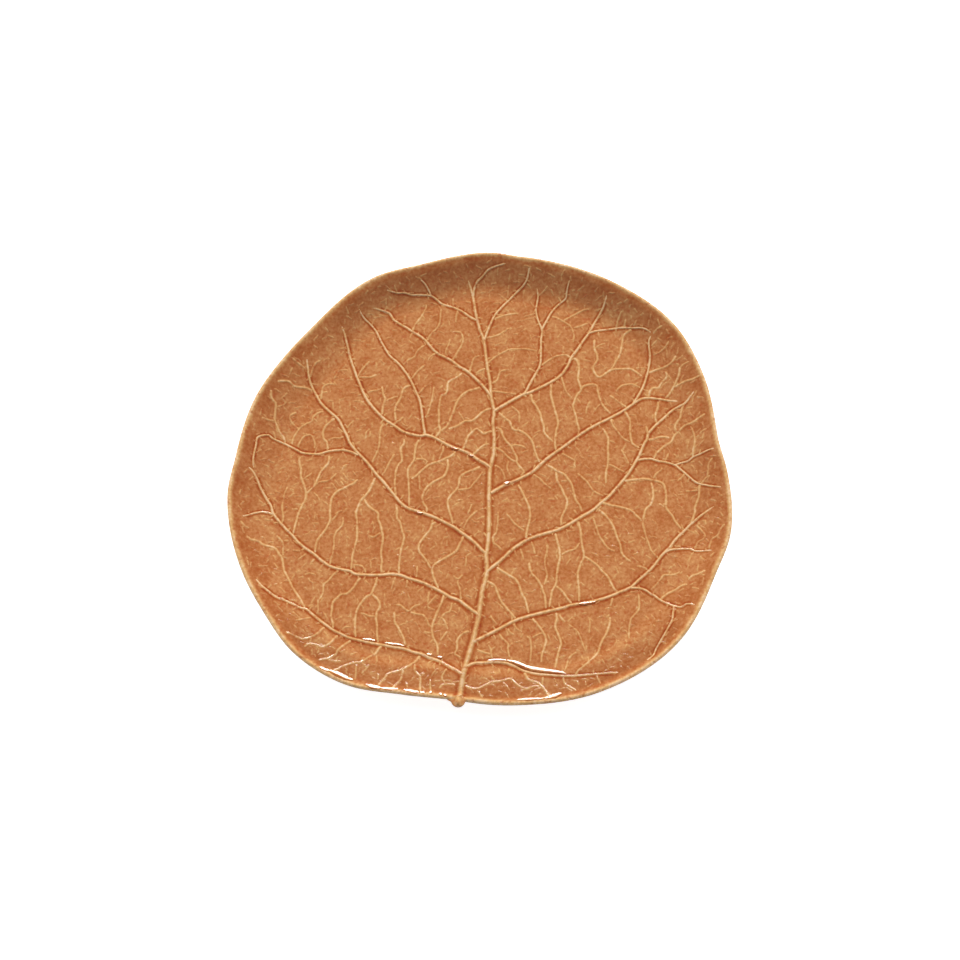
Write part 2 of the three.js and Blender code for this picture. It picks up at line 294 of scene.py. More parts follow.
reach = add_node(slab_tree, "ShaderNodeMath", {
    0: share, 1: floor_length, 2: beyond,
}, operation="MULTIPLY_ADD")
plan = add_node(slab_tree, "ShaderNodeVectorMath", {
    0: ray, "Scale": reach,
}, operation="SCALE")
plan = add_node(slab_tree, "ShaderNodeVectorMath", {0: plan, 1: slab["Middle"]})
height = add_node(slab_tree, "ShaderNodeCombineXYZ", {"Z": turned.outputs["Z"]})
formed = add_node(slab_tree, "ShaderNodeVectorMath", {0: plan, 1: height})
drawn = add_node(slab_tree, "GeometryNodeSetPosition", {
    "Geometry": coated, "Position": formed,
})
joined = add_node(slab_tree, "GeometryNodeMergeByDistance", {
    "Geometry": drawn, "Distance": slab["Seam"],
})
wave_scale = add_node(slab_tree, "ShaderNodeMath", {0: 1.0, 1: slab["Uneven Length"]}, operation="DIVIDE")
wave = add_node(slab_tree, "ShaderNodeTexNoise", {"Scale": wave_scale, "Detail": 3.0})
wave = add_node(slab_tree, "ShaderNodeMath", {0: wave, 1: slab["Uneven Top"]}, operation="SUBTRACT")
wave = add_node(slab_tree, "ShaderNodeMath", {
    0: wave, 1: slab["Uneven Height"],
}, operation="MULTIPLY")
flat = add_node(slab_tree, "ShaderNodeVectorMath", {0: position, 1: (1, 1, 0)}, operation="MULTIPLY")
from_sag = add_node(slab_tree, "ShaderNodeVectorMath", {
    0: flat, 1: slab["Sag Place"],
}, operation="DISTANCE")
sag = add_node(slab_tree, "ShaderNodeMapRange", {
    "Value": from_sag.outputs["Value"], 1: 0.0, 2: slab["Sag Reach"], 3: slab["Sag Depth"], 4: 0.0,
}, interpolation_type="SMOOTHSTEP")
wave = add_node(slab_tree, "ShaderNodeMath", {0: wave, 1: sag}, operation="SUBTRACT")
wave = add_node(slab_tree, "ShaderNodeCombineXYZ", {"Z": wave})
uneven = add_node(slab_tree, "GeometryNodeSetPosition", {
    "Geometry": joined, "Offset": wave,
})
outward = add_node(slab_tree, "GeometryNodeFlipFaces", {0: uneven})
end_tree(slab_tree, outward, slab["Glaze"])


def linear(hex_code):
    """Linear colour of an sRGB hex value."""
    channels = [int(hex_code[i:i + 2], 16) / 255 for i in (0, 2, 4)]
    return [c / 12.92 if c <= 0.04045 else ((c + 0.055) / 1.055) ** 2.4 for c in channels] + [1]


def new_material(name):
    """Empty material, and its node tree."""
    material = bpy.data.materials.new(name)
    material.use_nodes = True
    material.node_tree.nodes.clear()
    return material, material.node_tree


def ramp(tree, value, tones):
    """Colour of a value between 0 and 1, by a list of places and hex values."""
    node = add_node(tree, "ShaderNodeValToRGB", {0: value})
    stops = node.color_ramp.elements
    stops[0].position, stops[1].position = tones[0][0], tones[-1][0]
    stops[0].color, stops[1].color = linear(tones[0][1]), linear(tones[-1][1])
    for place, hex_code in tones[1:-1]:
        stops.new(place).color = linear(hex_code)
    return node


# Breaking glaze: a glossy, translucent iron glaze, dipped over buff stoneware. It runs thin and pale over
# raised edges, pools thick and rust-red beside them, and lies mottled orange in between. Painted shade
# darkens the rim's slope near both ends of the leaf, scaling the colour down without changing its hue.
GLAZE_TONES = [
    (0.00, "983a06"), (0.15, "a74e12"), (0.30, "b06128"), (0.42, "ba7038"), (0.50, "c27a43"),
    (0.60, "c98850"), (0.72, "d49c5e"), (0.86, "e1af72"), (1.00, "eec596"),
]
RUST_SPOT = "b2501e"
PATCH_SIZE, PATCH_SWING = 8 * MM, 0.1
GRAIN_SIZE, GRAIN_SWING = 1.4 * MM, 0.13
CLOUD_RANGE = (0.3, 0.7)
SPOT_SIZE, SPOT_MOST = 1.8 * MM, 0.55
SPOT_RANGE = (0.58, 0.74)
# Painted shade on the rim's slope: how much darker at most, the heights where it comes in and goes out, and
# how far along the leaf it starts.
RIM_PAINTED_SHADE = 0.22
RIM_SHADE_FROM = (8.8 * MM, 10.6 * MM)
RIM_SHADE_UNTIL = (13.6 * MM, 14.8 * MM)
RIM_SHADE_ENDS = (58 * MM, 86 * MM)
GLAZE_ROUGHNESS, GLAZE_IOR = 0.08, 1.52
glaze, coat = new_material("breaking_glaze_on_stoneware")
place = add_node(coat, "ShaderNodeTexCoord").outputs["Object"]
relief = add_node(coat, "ShaderNodeAttribute", attribute_name="relief").outputs["Fac"]
tone = add_node(coat, "ShaderNodeMapRange", {"Value": relief, 1: -1.0, 2: 1.0, 3: 0.0, 4: 1.0})
for size, swing in ((PATCH_SIZE, PATCH_SWING), (GRAIN_SIZE, GRAIN_SWING)):
    cloud = add_node(coat, "ShaderNodeTexNoise", {"Vector": place, "Scale": 1 / size, "Detail": 2.0})
    cloud = add_node(coat, "ShaderNodeMapRange", {
        "Value": cloud, 1: CLOUD_RANGE[0], 2: CLOUD_RANGE[1], 3: -swing, 4: swing,
    })
    tone = add_node(coat, "ShaderNodeMath", {0: tone, 1: cloud}, operation="ADD")
colour = ramp(coat, tone, GLAZE_TONES)
spot = add_node(coat, "ShaderNodeTexNoise", {"Vector": place, "Scale": 1 / SPOT_SIZE, "Detail": 1.0})
spot = add_node(coat, "ShaderNodeMapRange", {
    "Value": spot, 1: SPOT_RANGE[0], 2: SPOT_RANGE[1], 3: 0.0, 4: SPOT_MOST,
})
colour = add_node(coat, "ShaderNodeMix", {
    0: spot, 6: colour, 7: linear(RUST_SPOT),
}, data_type="RGBA").outputs[2]
spread = add_node(coat, "ShaderNodeSeparateXYZ", {0: place}).outputs
# Painted shade: the colour is scaled darker on the rim's slope near both ends of the leaf, with its hue
# kept.
to_ends = add_node(coat, "ShaderNodeMath", {0: spread["Y"]}, operation="ABSOLUTE")
rim_shade = RIM_PAINTED_SHADE
for value, band, start, end in (
    (spread["Z"], RIM_SHADE_FROM, 0.0, 1.0), (spread["Z"], RIM_SHADE_UNTIL, 1.0, 0.0), (to_ends, RIM_SHADE_ENDS, 0.0, 1.0),
):
    part = add_node(coat, "ShaderNodeMapRange", {
        "Value": value, 1: band[0], 2: band[1], 3: start, 4: end,
    }, interpolation_type="SMOOTHSTEP")
    rim_shade = add_node(coat, "ShaderNodeMath", {0: part, 1: rim_shade}, operation="MULTIPLY")
shade = add_node(coat, "ShaderNodeMath", {0: 1.0, 1: rim_shade}, operation="SUBTRACT")
colour = add_node(coat, "ShaderNodeVectorMath", {0: colour, "Scale": shade}, operation="SCALE")
melt = add_node(coat, "ShaderNodeBsdfPrincipled", {
    "Base Color": colour, "Roughness": GLAZE_ROUGHNESS, "IOR": GLAZE_IOR,
})
add_node(coat, "ShaderNodeOutputMaterial", {"Surface": melt})

leaf = grown(
    slab_tree, outline, "leaf_body_glazed", section=profile, section_points=len(section),
    steps_round=STEPS_ROUND, rim_run=RIM_RUN, floor_radius=floor_radius,
    middle=(leaf_middle.x, leaf_middle.y, 0), uneven_height=UNEVEN_HEIGHT,
    uneven_length=UNEVEN_LENGTH, uneven_top=UNEVEN_TOP, sag_place=SAG_PLACE, sag_depth=SAG_DEPTH,
    sag_reach=SAG_REACH, seam=SEAM_REACH, glaze=glaze,
)
bpy.data.objects.remove(profile)
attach(leaf, "root")
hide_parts("leaf_body")

# Veins: coils of clay rolled out thin, bent to the leaf's own veins and pressed onto the face with slip.
# They taper towards the rim, their feet are smoothed into the face, and the glaze pools beside them.
# Each arm has its half width in mm at the start and at the end, and its route in pixels of the photograph.
VEINS = {
    "midrib": [(1.5, 0.75, [
        (458, 703), (460, 696), (462, 682), (464, 671), (466, 664), (470, 650), (473, 640), (476, 627),
        (479, 613), (482, 592), (485, 580), (487, 570), (486, 556), (488, 543), (489, 520), (489, 495),
        (490, 470), (492, 461), (494, 450), (494, 436), (493, 422), (494, 411), (491, 396), (490, 383),
        (487, 364), (484, 341), (480, 330), (476, 315), (473, 297), (468, 280), (463, 268)]),
        (0.72, 0.5, [
        (473, 297), (474, 290), (477, 282), (482, 277), (488, 270), (494, 267), (500, 265), (507, 263)])],
    "vein_left_1": [(1.0, 0.68, [
        (462, 674), (450, 667), (439, 661), (430, 658), (421, 654), (413, 652), (405, 649), (393, 647),
        (382, 645), (371, 643), (358, 640), (350, 638), (341, 634), (333, 630), (326, 625), (318, 619),
        (311, 613), (306, 609), (301, 608), (293, 604), (284, 600), (276, 597), (268, 591), (261, 585),
        (256, 579), (251, 574)])],
    "vein_left_2": [(1.05, 0.72, [
        (478, 614), (469, 608), (460, 601), (450, 597), (440, 591), (430, 586), (421, 582), (408, 578),
        (400, 575), (391, 574), (381, 575), (367, 575), (355, 574), (350, 571), (339, 569), (330, 566),
        (322, 561), (314, 554), (308, 550), (299, 543), (293, 536), (286, 529), (278, 520), (273, 513),
        (271, 506), (266, 498), (261, 489), (257, 479), (252, 470), (246, 465), (242, 461)]),
        (0.72, 0.5, [(273, 514), (269, 513), (262, 512), (255, 513), (248, 515), (242, 516)])],
    "vein_left_3": [(1.05, 0.72, [
        (486, 552), (483, 551), (473, 541), (462, 533), (452, 526), (438, 519), (429, 515), (420, 512),
        (408, 508), (401, 503), (395, 496), (386, 485), (381, 479), (377, 475), (370, 466), (364, 459),
        (357, 452), (350, 443), (347, 436), (342, 426), (338, 419), (329, 411), (321, 403), (317, 396),
        (312, 387), (309, 377), (308, 369), (307, 360), (308, 351)]),
        (0.8, 0.55, [
        (358, 455), (351, 452), (343, 450), (330, 451), (318, 454), (303, 453), (297, 450), (291, 447),
        (285, 444), (278, 441), (272, 438), (268, 435), (258, 437), (256, 445), (254, 454), (253, 462),
        (255, 472)])],
    "vein_left_4": [(1.05, 0.72, [
        (490, 467), (484, 463), (477, 459), (470, 454), (461, 450), (455, 448), (446, 444), (435, 438),
        (426, 435), (421, 436), (410, 434), (402, 431), (395, 426), (387, 421), (381, 416), (371, 405),
        (365, 396), (361, 387), (357, 377), (353, 366), (350, 357), (348, 348), (346, 340), (344, 332),
        (339, 320)]),
        (0.8, 0.55, [
        (425, 434), (423, 422), (422, 413), (420, 401), (417, 394), (410, 379), (403, 369), (398, 363),
        (390, 356), (386, 350), (382, 343), (379, 337), (376, 331), (371, 325), (364, 318), (360, 311),
        (357, 304)])],
    "vein_left_5": [(0.95, 0.68, [
        (491, 396), (483, 386), (475, 378), (467, 371), (460, 367), (452, 361), (445, 357), (437, 353),
        (430, 346), (426, 341), (420, 336), (413, 332), (407, 328), (400, 324), (394, 320), (390, 314),
        (386, 312), (377, 309), (369, 307)])],
    "vein_left_6": [(0.8, 0.55, [
        (476, 320), (470, 317), (463, 312), (457, 309), (452, 307), (442, 304), (437, 300), (431, 296),
        (420, 295), (412, 295), (405, 293), (397, 293), (390, 291), (384, 289)]),
        (0.65, 0.5, [(431, 296), (429, 291), (425, 284), (420, 279)])],
    "vein_right_1": [(1.0, 0.68, [
        (467, 666), (475, 663), (483, 663), (495, 662), (505, 663), (514, 666), (524, 671), (537, 674),
        (549, 675), (561, 676), (574, 676), (586, 675), (598, 674), (611, 673), (623, 672)])],
    "vein_right_2": [(1.05, 0.72, [
        (473, 642), (483, 637), (499, 629), (514, 621), (529, 616), (541, 613), (553, 610), (562, 608),
        (571, 605), (578, 604), (585, 603), (594, 601), (608, 597), (620, 592), (631, 587), (640, 579),
        (650, 570), (656, 563), (662, 555), (669, 548), (676, 539), (684, 531), (691, 524), (703, 514),
        (713, 507), (721, 501)]),
        (0.72, 0.5, [(664, 553), (670, 550), (680, 549), (690, 549), (695, 551), (702, 551), (713, 550)]),
        (0.8, 0.55, [
        (631, 588), (638, 588), (645, 590), (651, 594), (655, 596), (662, 601), (671, 605), (681, 607),
        (686, 604), (691, 604), (697, 605)]),
        (0.65, 0.5, [
        (674, 606), (673, 614), (672, 620), (668, 628), (664, 635), (660, 642), (656, 649), (654, 654),
        (650, 658), (645, 661)])],
    "vein_right_3": [(1.05, 0.72, [
        (487, 571), (500, 561), (513, 549), (527, 540), (540, 535), (554, 531), (566, 526), (581, 517),
        (593, 510), (602, 502), (607, 498), (613, 492), (620, 484), (625, 478), (630, 471), (635, 463),
        (639, 456), (641, 451), (644, 444), (647, 439), (648, 434), (652, 429), (657, 424), (664, 418),
        (668, 414), (673, 410), (680, 406), (685, 403), (690, 397), (694, 391), (696, 389), (701, 386)]),
        (0.8, 0.55, [
        (638, 460), (645, 459), (652, 459), (658, 461), (665, 462), (675, 465), (680, 469), (686, 474),
        (694, 481), (700, 484), (706, 485), (711, 486), (724, 487)]),
        (0.65, 0.5, [
        (675, 465), (681, 463), (688, 461), (693, 457), (700, 454), (706, 451), (711, 449), (715, 448)])],
    "vein_right_4": [(1.05, 0.72, [
        (491, 493), (501, 487), (510, 483), (521, 478), (532, 472), (541, 464), (549, 457), (556, 452),
        (566, 445), (581, 434), (594, 426), (608, 419), (623, 411), (633, 404), (641, 399), (649, 398),
        (658, 399), (665, 400), (673, 401), (684, 401)]),
        (0.8, 0.55, [
        (633, 404), (638, 396), (643, 387), (646, 378), (648, 371), (650, 357), (649, 347), (649, 340),
        (652, 334)])],
    "vein_right_5": [(1.0, 0.68, [
        (494, 411), (511, 401), (524, 394), (531, 392), (551, 382), (561, 375), (568, 365), (571, 358),
        (577, 350), (583, 341), (589, 333), (594, 324), (600, 314), (604, 305), (608, 290)]),
        (0.72, 0.5, [
        (589, 333), (596, 331), (604, 330), (620, 328), (633, 328), (642, 328), (649, 331), (652, 334)]),
        (0.8, 0.55, [
        (525, 393), (531, 382), (536, 373), (540, 365), (541, 350), (541, 340), (542, 330), (538, 320),
        (536, 310), (538, 296), (536, 284)]),
        (0.72, 0.5, [
        (542, 329), (547, 320), (551, 313), (556, 307), (562, 302), (566, 298), (567, 290), (570, 278)])],
    "vein_right_6": [(0.8, 0.55, [
        (484, 341), (486, 335), (490, 325), (495, 315), (501, 308), (508, 301), (517, 292), (523, 286),
        (527, 279), (529, 270), (530, 264)])],
}
VEIN_STEP = 0.9 * MM
VEIN_SINK = 0.1 * MM
ABOVE_PLATE = 0.1
COIL_STEPS = [0.14, 0.28, 0.42, 0.56, 0.7, 0.85, 1.0]
COIL_TOE = 0.012
COIL_SKIRT = [(0.3, COIL_TOE, 0.8), (0.8, COIL_TOE, 0.35), (1.5, -COIL_TOE, 0.0), (1.8, -0.08, 0.0)]
COIL_DEPTH = 0.4
COIL_POOL, COIL_SPREAD = 0.95, 0.4
COIL_CREST, COIL_TAIL = 0.36, 0.08
COIL_PALE = 1.0
MIDRIB_SPREAD, MIDRIB_PALE = 0.35, 0.88
face_rays = BVHTree.FromObject(leaf, bpy.context.evaluated_depsgraph_get())
focal_pixels = LENS / SENSOR * PHOTO_SIDE
pixel_right = Vector((1, 0, 0))
pixel_up = to_camera.cross(pixel_right)


def on_face(pixel):
    """Point of the leaf's face that the camera sees at a pixel of its picture."""
    across, down = pixel
    sight = (
        -to_camera * focal_pixels + pixel_right * (across - PHOTO_SIDE / 2)
        - pixel_up * (down - PHOTO_SIDE / 2)
    )
    return face_rays.ray_cast(camera.location, sight.normalized())[0]


def laid_routes(name, grades):
    """Lines in plan under the routes of each grade, with half width and paleness at each point."""
    runs, widths, tones = [], [], []
    for start, end, pale, routes in grades:
        for pixels in routes:
            points = [on_face(pixel) for pixel in pixels]
            run = [(point.x, point.y, 0) for point in points if point]
            runs.append(run)
            widths += [(start + (end - start) * i / (len(run) - 1)) * MM for i in range(len(run))]
            tones += [pale] * len(run)
    return polyline(name, runs, half_width=widths, pale=tones)


def coil_side(steps, pool, spread):
    """One side of a vein's section, from the crest out: reach, height, thinness and cover of glaze."""
    side = [(s, COIL_TOE + (1 - COIL_TOE) * (0.5 + 0.5 * math.cos(math.pi * s))) for s in steps]
    full = [(s, h, h ** spread * (1 + pool) - pool, 1.0) for s, h in side]
    toe = side[-1][0]
    return full + [(toe + reach, height, -pool, cover) for reach, height, cover in COIL_SKIRT]


def coil_section(name, left, right):
    """Closed section of a vein, over a flat underside in the clay. A sweep turns it upside down."""
    top = [(-s, h, t, c) for s, h, t, c in right[::-1]] + [(0, 1, 1, 1)] + left
    under = [(left[-1][0], -COIL_DEPTH, 0, 0), (0, -COIL_DEPTH, 0, 0), (-right[-1][0], -COIL_DEPTH, 0, 0)]
    ring = (top + under)[::-1]
    return polyline(
        name, [[(-s, -h, 0) for s, h, _, _ in ring]], closed=True,
        thinness=[t for _, _, t, _ in ring], cover=[c for _, _, _, c in ring],
    )


vein_tree, vein = new_tree("vein on the face", {
    "Section": "Object", "Face": "Object", "Step": "Float", "Crest": "Float", "Head": "Float",
    "Tail": "Float", "Sink": "Float", "Glaze": "Material",
})
route = add_node(vein_tree, "GeometryNodeMeshToCurve", {0: vein["Geometry"]})
route = add_node(vein_tree, "GeometryNodeCurveSplineType", {0: route}, spline_type="CATMULL_ROM")
route = add_node(vein_tree, "GeometryNodeResampleCurve", {
    "Curve": route, "Length": vein["Step"],
}, mode="LENGTH")
parameter = add_node(vein_tree, "GeometryNodeSplineParameter")
route = add_node(vein_tree, "GeometryNodeStoreNamedAttribute", {
    "Geometry": route, "Name": "along", "Value": parameter.outputs["Factor"],
})
route = add_node(vein_tree, "GeometryNodeSetCurveNormal", {0: route}, mode="Z_UP")
rod = add_node(vein_tree, "GeometryNodeObjectInfo", {"Object": vein["Section"]})
rod = add_node(vein_tree, "GeometryNodeMeshToCurve", {0: rod.outputs["Geometry"]})
half_width = add_node(vein_tree, "GeometryNodeInputNamedAttribute", {"Name": "half_width"})
swept = add_node(vein_tree, "GeometryNodeCurveToMesh", {
    "Curve": route, "Profile Curve": rod, "Scale": half_width,
    "Fill Caps": True,
})
along = add_node(vein_tree, "GeometryNodeInputNamedAttribute", {"Name": "along"})
to_start = add_node(vein_tree, "ShaderNodeMath", {0: along, 1: vein["Head"]}, operation="ADD")
to_end = add_node(vein_tree, "ShaderNodeMath", {0: 1.0, 1: along}, operation="SUBTRACT")
to_tip = add_node(vein_tree, "ShaderNodeMath", {0: to_start, 1: to_end}, operation="MINIMUM")
fade = add_node(vein_tree, "ShaderNodeMapRange", {
    "Value": to_tip, 1: 0.0, 2: vein["Tail"], 3: 0.0, 4: 1.0,
}, interpolation_type="SMOOTHSTEP")
position = add_node(vein_tree, "GeometryNodeInputPosition")
swept_place = add_node(vein_tree, "ShaderNodeSeparateXYZ", {0: position})
lift = add_node(vein_tree, "ShaderNodeMath", {
    0: swept_place.outputs["Z"], 1: vein["Crest"],
}, operation="MULTIPLY")
lift = add_node(vein_tree, "ShaderNodeMath", {0: lift, 1: fade}, operation="MULTIPLY")
sunk = add_node(vein_tree, "ShaderNodeMath", {0: 1.0, 1: fade}, operation="SUBTRACT")
sunk = add_node(vein_tree, "ShaderNodeMath", {0: sunk, 1: vein["Sink"]}, operation="MULTIPLY")
lift = add_node(vein_tree, "ShaderNodeMath", {0: lift, 1: sunk}, operation="SUBTRACT")
above = add_node(vein_tree, "ShaderNodeCombineXYZ", {
    "X": swept_place.outputs["X"], "Y": swept_place.outputs["Y"], "Z": ABOVE_PLATE,
})
face = add_node(vein_tree, "GeometryNodeObjectInfo", {"Object": vein["Face"]})
relief = add_node(vein_tree, "GeometryNodeInputNamedAttribute", {"Name": "relief"})
found = add_node(vein_tree, "GeometryNodeRaycast", {
    "Target Geometry": face.outputs["Geometry"], "Attribute": relief,
    "Source Position": above, "Ray Direction": (0, 0, -1), "Ray Length": 1.0,
})
raised = add_node(vein_tree, "ShaderNodeVectorMath", {
    0: found.outputs["Hit Normal"], "Scale": lift,
}, operation="SCALE")
raised = add_node(vein_tree, "ShaderNodeVectorMath", {0: found.outputs["Hit Position"], 1: raised})
pressed = add_node(vein_tree, "GeometryNodeSetPosition", {
    "Geometry": swept, "Selection": found.outputs["Is Hit"], "Position": raised,
})
thinness = add_node(vein_tree, "GeometryNodeInputNamedAttribute", {"Name": "thinness"})
pale = add_node(vein_tree, "GeometryNodeInputNamedAttribute", {"Name": "pale"})
cover = add_node(vein_tree, "GeometryNodeInputNamedAttribute", {"Name": "cover"})
thin = add_node(vein_tree, "ShaderNodeMath", {0: thinness, 1: pale}, operation="MULTIPLY")
run = add_node(vein_tree, "ShaderNodeMix", {
    0: cover, 2: found.outputs["Attribute"], 3: thin,
})
glazed = add_node(vein_tree, "GeometryNodeStoreNamedAttribute", {
    "Geometry": pressed, "Name": "relief", "Value": run,
})
end_tree(vein_tree, glazed, vein["Glaze"])

plain_side = coil_side(COIL_STEPS, COIL_POOL, COIL_SPREAD)
flat_side = coil_side(COIL_STEPS, COIL_POOL, MIDRIB_SPREAD)
coil = coil_section("coil_section", plain_side, plain_side)
midrib_coil = coil_section("midrib_section", flat_side, flat_side)
for node_name, routes in VEINS.items():
    form, pale = (midrib_coil, MIDRIB_PALE) if node_name == "midrib" else (coil, COIL_PALE)
    lines = laid_routes(node_name + "_routes", [
        (start, end, pale, [pixels]) for start, end, pixels in routes
    ])
    piece = grown(
        vein_tree, lines, node_name + "_glazed", section=form, face=leaf, step=VEIN_STEP, crest=COIL_CREST,
        head=1.0, tail=COIL_TAIL, sink=VEIN_SINK, glaze=glaze,
    )
    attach(piece, "root")
    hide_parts(node_name)
for form in (coil, midrib_coil):
    bpy.data.objects.remove(form)

# Small flats on the far side of some veins and just inside the lip, where a sponge pressed the soft clay.
# They are glazed with the rest, and they lean so that the glaze mirrors the low light behind the plate.
# Each has its width in mm and its route in pixels of the photograph.
SHOULDERS = [
    (1.0, [(487, 660.3), (494, 659.7), (501, 659.6), (508, 660.2)]),
    (1.6, [
        (506, 660), (513, 661.2), (519, 663.2), (526, 666.3), (533, 668.2), (543, 669.6), (553, 670.9),
        (562, 672), (567, 674)]),
    (0.9, [(362, 638.6), (370, 639.3), (377, 641)]),
    (0.9, [(384, 642.3), (391, 643.4), (399, 644.3), (406, 646)]),
    (0.9, [(426, 653.4), (434, 655)]), (0.9, [(437, 656.4), (444, 657.4)]),
    (1.2, [(450, 446.4), (461, 449.6)]), (1.1, [(468, 453.4), (476, 456.6)]),
    (1.2, [(503, 483.6), (512, 481.6)]), (1.1, [(416, 511.4), (425, 513.2)]),
    (1.2, [(577, 603.6), (584, 602.8), (590, 602), (599, 600.4)]),
    (1.3, [(319, 666.4), (325, 669), (331, 670.8)]),
    (1.7, [(329, 670), (334, 671.4), (340, 674), (347, 677.4), (355, 680.4)]),
    (1.9, [(365, 683.4), (370, 685.2), (376, 686.8), (382, 687.6)]),
    (1.3, [(380, 687.5), (388, 688.3), (402, 688.8)]),
    (1.5, [(403, 689), (409, 690.2), (415, 691.4), (420, 691.8)]), (1.0, [(419, 691.8), (427, 692)]),
    (1.3, [(429, 691.7), (433, 691.7)]), (1.2, [(439, 693.6), (443, 694)]),
    (0.9, [(443, 694.4), (448, 695.4)]),
    (1.0, [(516, 699.4), (526, 698.8), (535, 698.4), (547, 698)]),
    (1.7, [(544, 698), (551, 696), (556, 694.4), (563, 692.4)]),
]
SHOULDER_LIGHT = math.radians(4.7)
SHOULDER_STEPS = 6
SHOULDER_BACKS = (0.7, 0.3, 0.05)
SHOULDER_EDGE = 0.12
SHOULDER_ROOT = Vector((0, 0, 0.15)) * MM
SHOULDER_TONES = [0.0, 0.0, 0.2, 0.25, 0.1, -0.5, -0.5]


def under(point):
    """Point of the leaf's face straight below or above a point."""
    return face_rays.ray_cast(Vector((point.x, point.y, ABOVE_PLATE)), Vector((0, 0, -1)))[0]


def glazed_mesh(name, points, faces, tones):
    """Glazed object of points and faces, with the glaze's tone at each point."""
    mesh = bpy.data.meshes.new(name)
    mesh.from_pydata(points, [], faces)
    mesh.attributes.new("relief", "FLOAT", "POINT").data.foreach_set("value", tones)
    mesh.validate()
    mesh.shade_smooth()
    mesh.materials.append(glaze)
    piece = bpy.data.objects.new(name, mesh)
    scene.collection.objects.link(piece)
    return piece


points, faces = [], []
ring_size = len(SHOULDER_TONES)
for width, pixels in SHOULDERS:
    steps = [(i, step / SHOULDER_STEPS) for i in range(len(pixels) - 1) for step in range(SHOULDER_STEPS)]
    spots = [on_face(Vector(pixels[i]).lerp(pixels[i + 1], part)) for i, part in steps]
    first = len(points)
    for i, spot in enumerate(spots):
        ahead = spots[min(i + 1, len(spots) - 1)] - spots[max(i - 1, 0)]
        across = Vector((-ahead.y, ahead.x, 0)).normalized()
        reach = width * MM * math.sqrt(math.sin(math.pi * (i + 0.5) / len(spots)))
        sight = (camera.location - spot).normalized()
        back = -sight.dot(across)
        low_light = math.acos(math.sin(SHOULDER_LIGHT) / math.hypot(sight.z, back))
        lean = (low_light - math.atan2(back, sight.z)) / 2
        toe = under(spot + across * reach / 2)
        ramp_up = Vector((0, 0, math.tan(lean) * reach)) - across * reach
        heels = [under(toe - across * reach * (1 + back)) for back in SHOULDER_BACKS]
        heel = next(filter(None, heels))
        points += [toe - SHOULDER_ROOT, toe]
        points += [toe + ramp_up * share for share in (SHOULDER_EDGE, 1 - SHOULDER_EDGE, 1)]
        points += [heel, heel - SHOULDER_ROOT]
        if i > 0:
            here = len(points) - 2 * ring_size
            for side in range(ring_size):
                after = (side + 1) % ring_size
                faces.append((here + side, here + after, here + ring_size + after, here + ring_size + side))
    faces.append(tuple(range(first, first + ring_size))[::-1])
    faces.append(tuple(range(len(points) - ring_size, len(points))))
shoulders = glazed_mesh("vein_shoulders", points, faces, SHOULDER_TONES * (len(points) // ring_size))
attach(shoulders, "root")

